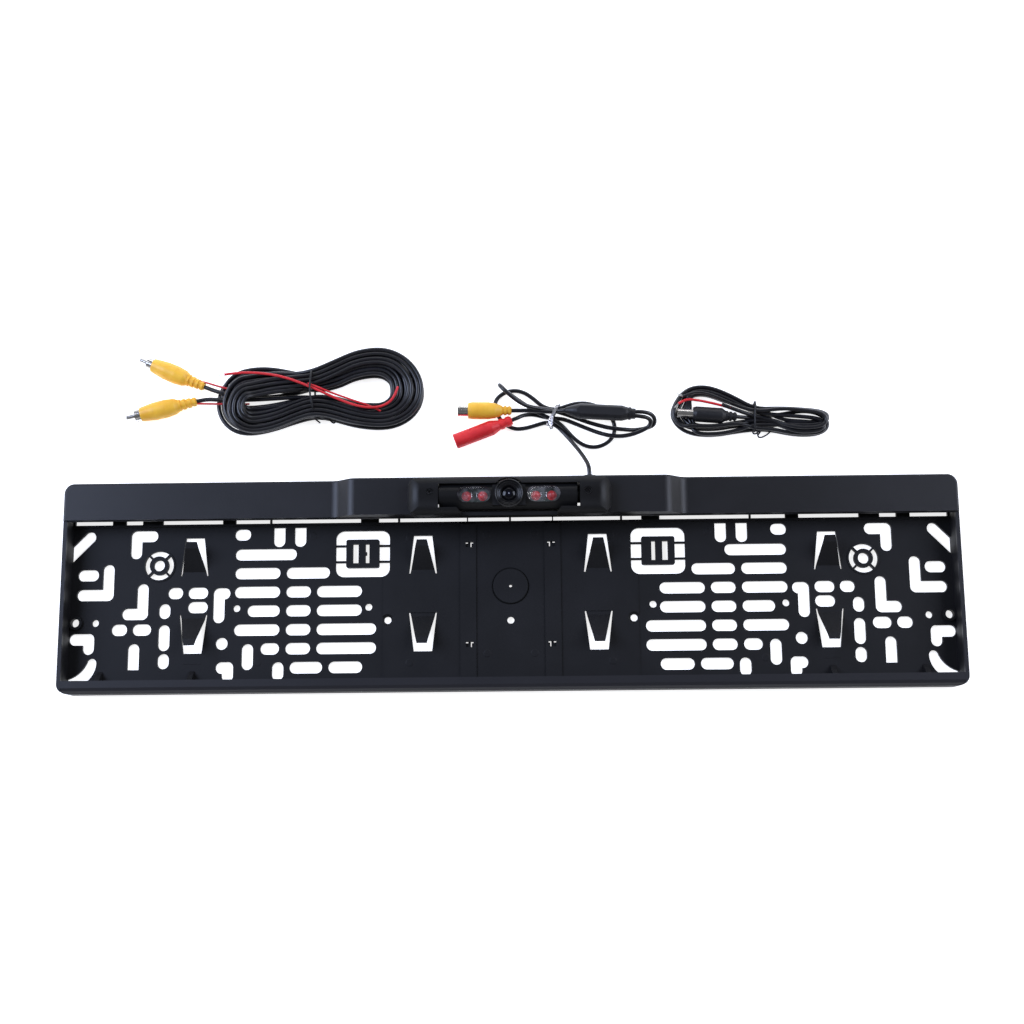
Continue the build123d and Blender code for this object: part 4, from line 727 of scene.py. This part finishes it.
def wire_mesh(paths):
    """One mesh of round wires: each path has its points, its diameter and whether it is closed."""
    curve = round_curve("wires", 1.0, 6)
    for points, d, closed in paths:
        line = thread(curve, points)
        for control in line.points:
            control.radius = d / 2 * MM
        line.order_u = 4
        line.use_cyclic_u = closed
        line.use_endpoint_u = not closed
    maker = bpy.data.objects.new("wires", curve)
    mesh = bpy.data.meshes.new_from_object(maker)
    bpy.data.objects.remove(maker)
    return mesh


def ribbon(shape, stations, half_width, half_thick, closed):
    """Adds a flat strip through stations of (middle, way across, way up)."""
    rows = []
    for middle, across, up in stations:
        a, u = across.normalized() * half_width, up.normalized() * half_thick
        corners = (middle - a - u, middle + a - u, middle + a + u, middle - a + u)
        rows.append([shape.verts.new(c * MM) for c in corners])
    pairs = list(zip(rows, rows[1:] + rows[:1])) if closed else list(zip(rows, rows[1:]))
    for one, two in pairs:
        for i in range(4):
            j = (i + 1) % 4
            shape.faces.new((one[i], one[j], two[j], two[i]))
    if not closed:
        shape.faces.new(rows[0][::-1])
        shape.faces.new(rows[-1])


FOIL_HALF = 0.95  # half the width of the foil strip, and half its thickness
FOIL_HALF_THICK = 0.14
FOIL_TOP = (28.4, 107.0)  # X and Y where the strip crosses the top of the bundle, and the bottom
FOIL_LOW = (25.6, 101.0)
FOIL_MIDDLE = (104.9, 5.15)  # Y and Z
FOIL_REACH = (5.9, 4.85)
FOIL_ROUND = 0.72  # 1 is an ellipse, less is squarer
FOIL_STATIONS = 36
FOIL_STRAY = 0.1  # along X
FOIL_TWIST = (0.15, 0.12)  # of its way across, toward Y and Z
KNOT = (Vector((25.8, 101.6, 9.6)), Vector((24.3, 96.2, 6.4)))
STRAND_STATIONS = 15
STRAND_TWIST = 3.2 * math.pi
STRAND_OUT = 1.15  # from the knot's middle
STRAND_PART = 0.7  # share of the knot after which its two ends part
STRAND_SPREAD = 5  # how fast they do
STRAND_WIDER = 1.1
STRAND_PITCH = 0.8  # how much a strand runs round the knot for its way along it
STRAND_LEAN = 0.4


def foil_tie():
    """Silver strip round the pigtail, twisted at its lower side, with two loose ends."""
    loose = random.Random(4)
    shape = bmesh.new()
    ring = []
    slope = (FOIL_TOP[0] - FOIL_LOW[0]) / (FOIL_TOP[1] - FOIL_LOW[1])
    for i in range(FOIL_STATIONS):
        turn = 2 * math.pi * i / FOIL_STATIONS
        c, k = math.cos(turn), math.sin(turn)
        y = FOIL_MIDDLE[0] + FOIL_REACH[0] * math.copysign(abs(c) ** FOIL_ROUND, c)
        z = FOIL_MIDDLE[1] + FOIL_REACH[1] * math.copysign(abs(k) ** FOIL_ROUND, k)
        x = FOIL_LOW[0] + (y - FOIL_LOW[1]) * slope + loose.uniform(-FOIL_STRAY, FOIL_STRAY)
        across = Vector((1, *(loose.uniform(-most, most) for most in FOIL_TWIST)))
        ring.append((Vector((x, y, z)), across, Vector((0, c, k))))
    ribbon(shape, ring, FOIL_HALF, FOIL_HALF_THICK, True)
    axis = (KNOT[1] - KNOT[0]).normalized()
    side = axis.orthogonal().normalized()
    other = axis.cross(side)
    for start in (0, math.pi):
        strand = []
        for i in range(STRAND_STATIONS):
            share = i / (STRAND_STATIONS - 1)
            turn = start + share * STRAND_TWIST
            out = side * math.cos(turn) + other * math.sin(turn)
            spread = STRAND_OUT + max(0, share - STRAND_PART) * STRAND_SPREAD
            middle = KNOT[0].lerp(KNOT[1], share) + out * spread
            lean = side * loose.uniform(-STRAND_LEAN, STRAND_LEAN)
            lean += other * loose.uniform(-STRAND_LEAN, STRAND_LEAN)
            strand.append((middle, axis + out.cross(axis) * STRAND_PITCH + lean, out))
        ribbon(shape, strand, FOIL_HALF * STRAND_WIDER, FOIL_HALF_THICK, False)
    bmesh.ops.recalc_face_normals(shape, faces=shape.faces)
    return mesh_of(shape, "pigtail_twist_tie")


VIDEO_TIE_RING = (
    (-119.4, 133.9, 8.0), (-119.4, 131.6, 12.6), (-119.4, 126.6, 14.8), (-120.0, 121.2, 15.4),
    (-119.6, 115.6, 15.2), (-118.6, 110.6, 14.2), (-118.0, 106.6, 12.0), (-117.6, 103.6, 7.0),
    (-117.8, 103.2, 2.0), (-118.2, 106.0, 0.66), (-118.6, 118.0, 0.66), (-119.0, 130.6, 0.66),
    (-119.3, 133.8, 2.6))
VIDEO_TIE_TAILS = (
    ((-118.2, 104.6, 9.0), (-116.6, 103.2, 7.0), (-115.6, 103.6, 5.0), (-113.8, 102.6, 5.0),
     (-111.2, 103.2, 6.0), (-108.6, 102.4, 5.8), (-107.0, 100.4, 4.6), (-105.4, 100.8, 4.4),
     (-105.2, 102.6, 5.2), (-103.0, 102.9, 6.0)),
    ((-117.8, 104.2, 8.0), (-118.2, 102.6, 6.0), (-116.2, 102.4, 4.6), (-114.8, 100.9, 3.6)))
POWER_TIE_RING = (
    (149.2, 111.2, 2.6), (149.2, 110.8, 5.4), (148.9, 107.4, 7.8), (148.4, 102.6, 8.2),
    (148.3, 97.8, 7.8), (148.4, 93.2, 6.2), (148.4, 92.2, 2.6), (148.5, 93.6, 0.62),
    (148.8, 101.0, 0.62), (149.1, 109.8, 0.62))
POWER_TIE_TAILS = (
    ((148.2, 93.8, 6.4), (147.0, 92.6, 4.6), (147.3, 91.2, 3.2), (148.9, 90.9, 2.8),
     (150.6, 92.0, 3.6), (151.4, 93.2, 4.4), (152.0, 92.0, 4.4), (150.6, 90.6, 2.6)),
    ((149.6, 92.4, 5.6), (150.2, 91.0, 3.6), (150.4, 89.6, 2.0), (151.8, 88.9, 1.4),
     (154.6, 89.8, 1.4), (156.8, 91.3, 1.6), (158.2, 92.8, 2.0)))
TIE_D = 1.2
TIE_TAIL_D = 1.0


def strands_tree():
    """Bare strands of a stripped wire end: a bunch along +Z that fans out."""
    tree = bpy.data.node_groups.new("bare_strands", "GeometryNodeTree")
    for name, kind in (("Strands", "Int"), ("Bunch Radius", "Float"), ("Length", "Float"),
                       ("Strand Radius", "Float"), ("Fan", "Vector"), ("Seed", "Int"),
                       ("Finish", "Material")):
        tree.interface.new_socket(name, in_out="INPUT", socket_type="NodeSocket" + kind)
    tree.interface.new_socket("Geometry", in_out="OUTPUT", socket_type="NodeSocketGeometry")
    given = tree.nodes.new("NodeGroupInput").outputs

    def node(kind, links, **settings):
        made = tree.nodes.new(kind)
        for key, value in settings.items():
            setattr(made, key, value)
        for socket, source in links.items():
            if isinstance(source, bpy.types.NodeSocket):
                tree.links.new(source, made.inputs[socket])
            else:
                made.inputs[socket].default_value = source
        return made.outputs

    ring = node("GeometryNodeMeshCircle", {"Vertices": given["Strands"],
                                           "Radius": given["Bunch Radius"]})
    strand = node("GeometryNodeMeshCylinder", {
        "Vertices": 6, "Side Segments": 3, "Radius": given["Strand Radius"],
        "Depth": given["Length"]})
    half = node("ShaderNodeMath", {0: given["Length"], 1: 0.5}, operation="MULTIPLY")
    lift = node("ShaderNodeCombineXYZ", {"Z": half[0]})
    raised = node("GeometryNodeTransform", {"Geometry": strand["Mesh"], "Translation": lift[0]})
    low = node("ShaderNodeVectorMath", {0: given["Fan"], 1: (-1, -1, -1)}, operation="MULTIPLY")
    lean = node("FunctionNodeRandomValue", {"Min": low[0], "Max": given["Fan"],
                                            "Seed": given["Seed"]}, data_type="FLOAT_VECTOR")
    bunch = node("GeometryNodeInstanceOnPoints", {
        "Points": ring["Mesh"], "Instance": raised[0], "Rotation": lean[0]})
    real = node("GeometryNodeRealizeInstances", {"Geometry": bunch[0]})
    done = node("GeometryNodeSetMaterial", {"Geometry": real[0], "Material": given["Finish"]})
    last = tree.nodes.new("NodeGroupOutput")
    tree.links.new(done[0], last.inputs[0])
    return tree


def grown(tree, values):
    """The mesh that a tree makes from its named inputs."""
    maker = bpy.data.objects.new("maker", bpy.data.meshes.new("maker"))
    bpy.context.scene.collection.objects.link(maker)
    modifier = maker.modifiers.new("tree", "NODES")
    modifier.node_group = tree
    for item in tree.interface.items_tree:
        if item.in_out == "INPUT" and item.name in values:
            modifier[item.identifier] = values[item.name]
    now = bpy.context.evaluated_depsgraph_get()
    mesh = bpy.data.meshes.new_from_object(maker.evaluated_get(now))
    maker.modifiers.clear()
    bpy.data.objects.remove(maker)
    return mesh


BARE_ENDS = (  # where each stripped wire ends, and the way it points
    ((-171.6, 129.4, 13.5), (-4.0, -0.6, -0.3)), ((103.2, 109.8, 7.5), (-2.6, -2.4, -1.2)),
    ((105.8, 114.0, 7.5), (-3.0, 1.4, -0.6)))


def bare_strands():
    """Tinned strands at the three stripped wire ends, as one mesh."""
    tree = strands_tree()
    shape = bmesh.new()
    for number, (place, way) in enumerate(BARE_ENDS):
        mesh = grown(tree, {"Strands": 7, "Bunch Radius": 0.00042, "Length": 0.0042,
                            "Strand Radius": 0.00017, "Fan": (0.16, 0.16, 0.0),
                            "Seed": number, "Finish": FINISHES["plated"]})
        turn = Vector(way).to_track_quat("Z", "Y").to_matrix().to_4x4()
        turn.translation = Vector(place) * MM
        mesh.transform(turn)
        shape.from_mesh(mesh)
    return mesh_of(shape, "bare_strands")


def add_ties():
    """Twist ties of the three bundles, and the stripped wire ends."""
    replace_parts(placed("pigtail_twist_tie", foil_tie(), "foil", ROOT), "pigtail_tie")
    for name, ring, tails, node in (
            ("video_twist_tie", VIDEO_TIE_RING, VIDEO_TIE_TAILS, "video_tie"),
            ("power_twist_tie", POWER_TIE_RING, POWER_TIE_TAILS, "power_tie")):
        wires = [(ring, TIE_D, True)] + [(tail, TIE_TAIL_D, False) for tail in tails]
        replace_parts(placed(name, wire_mesh(wires), "black_tie", ROOT), node)
    placed("bare_strands", bare_strands(), "plated", ROOT)


def bars_mesh(bars):
    """One mesh of square bars, each from its lowest corner to its highest."""
    shape = bmesh.new()
    for low, high in bars:
        for vert in bmesh.ops.create_cube(shape, size=1.0)["verts"]:
            vert.co = Vector([(lo + hi) / 2 + (hi - lo) * c
                              for lo, hi, c in zip(low, high, vert.co)]) * MM
    bmesh.ops.recalc_face_normals(shape, faces=shape.faces)
    return mesh_of(shape, "bars")


BAND_EDGE = 40.0  # Y of the band's lower edge
RIB_HALF = 262.6  # half length
RIBS = (  # Y and Z reach of the rib under the band's edge, and of the one on the floor
    ((BAND_EDGE - 0.5, BAND_EDGE + 0.5), (13.4, 15.2)),
    ((BAND_EDGE - 2.3, BAND_EDGE - 0.8), (1.2, 3.6)))
HOOK_SPOTS = ((25.2, 25.2), (25.2, -34.6))  # X and Y of the rail slots, mirrored
HOOK_BARS = (  # outward from the slot's place: X, Y and Z reach of each bar
    ((-1.4, 1.7), (-1.8, 0.8), (0.4, 2.0)), ((-1.4, 0.1), (0.7, 1.8), (0.4, 2.0)),
    ((-3.2, -2.0), (-1.8, 0.8), (0.4, 2.0)))


def pocket_ribs():
    """Ribs along the mouth of the plate's pocket."""
    return bars_mesh([((-RIB_HALF, y[0], z[0]), (RIB_HALF, y[1], z[1])) for y, z in RIBS])


def cable_hooks():
    """Small hooks that fill most of each rail slot."""
    bars = []
    for x, y in HOOK_SPOTS:
        for side in (1, -1):
            for across, along, up in HOOK_BARS:
                ends = sorted(side * (x + a) for a in across)
                bars.append(((ends[0], y + along[0], up[0]), (ends[1], y + along[1], up[1])))
    return bars_mesh(bars)


LED_MIDDLE = 20.2  # X between the two LEDs of each window, mirrored
ARC_R = 3.3
ARC_UP = 3.4  # above the lowest face of the LEDs
ARC_D = 0.42
ARC_SWEEP = (-0.42, -0.2, 0.0, 0.2, 0.42)  # radians


def led_frames():
    """Bright arcs of the LED frames, two facing each other behind each window."""
    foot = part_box("ir_led_1")[0][2] / MM
    paths = []
    for number in range(1, 5):
        low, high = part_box(f"ir_led_{number}")
        x, y = (low[0] + high[0]) / 2 / MM, (low[1] + high[1]) / 2 / MM
        toward = math.copysign(1, x) * (-1 if abs(x) > LED_MIDDLE else 1)
        arc = [(x + toward * ARC_R * math.cos(turn), y + ARC_R * math.sin(turn), foot + ARC_UP)
               for turn in ARC_SWEEP]
        paths.append((arc, ARC_D, False))
    return wire_mesh(paths)


def add_cables():
    cord("camera_cable", CAMERA_CABLE, PIGTAIL_D,
         stands_for=("pigtail_tube", "pigtail_hank"))
    cord("video_lead", VIDEO_LEAD, PIGTAIL_D)
    cord("power_lead", POWER_LEAD, PIGTAIL_D)
    cord("video_cable", video_route(), VIDEO_D,
         stands_for=("video_hank", "video_tail_upper", "video_tail_lower"))
    trigger = [(x, y, TRIGGER_Z) for x, y in TRIGGER_ROUTE]
    cord("trigger_line", trigger, WIRE_D, "red_wire", stands_for=("trigger_wire",))
    cord("power_cable", power_route(), POWER_D,
         stands_for=("power_hank",))
    cord("red_lead", RED_LEAD, WIRE_D, "red_wire", stands_for=("power_lead_red",))
    cord("black_lead", BLACK_LEAD, WIRE_D, stands_for=("power_lead_black",))
    cord("upper_trigger", UPPER_TRIGGER, TRIGGER_D, "red_wire")
    cord("lower_trigger", LOWER_TRIGGER, TRIGGER_D, "red_wire")
    cord("trigger_return", TRIGGER_RETURN, TRIGGER_D, "red_wire")


add_camera()
for light in LIGHTS:
    softbox(*light)
add_world()
dress_nodes()
add_floor()
add_cables()
add_ties()
placed("led_frames", led_frames(), "plated", HEAD)
placed("pocket_ribs", pocket_ribs(), "holder", ROOT)
placed("cable_hooks", cable_hooks(), "holder", ROOT)
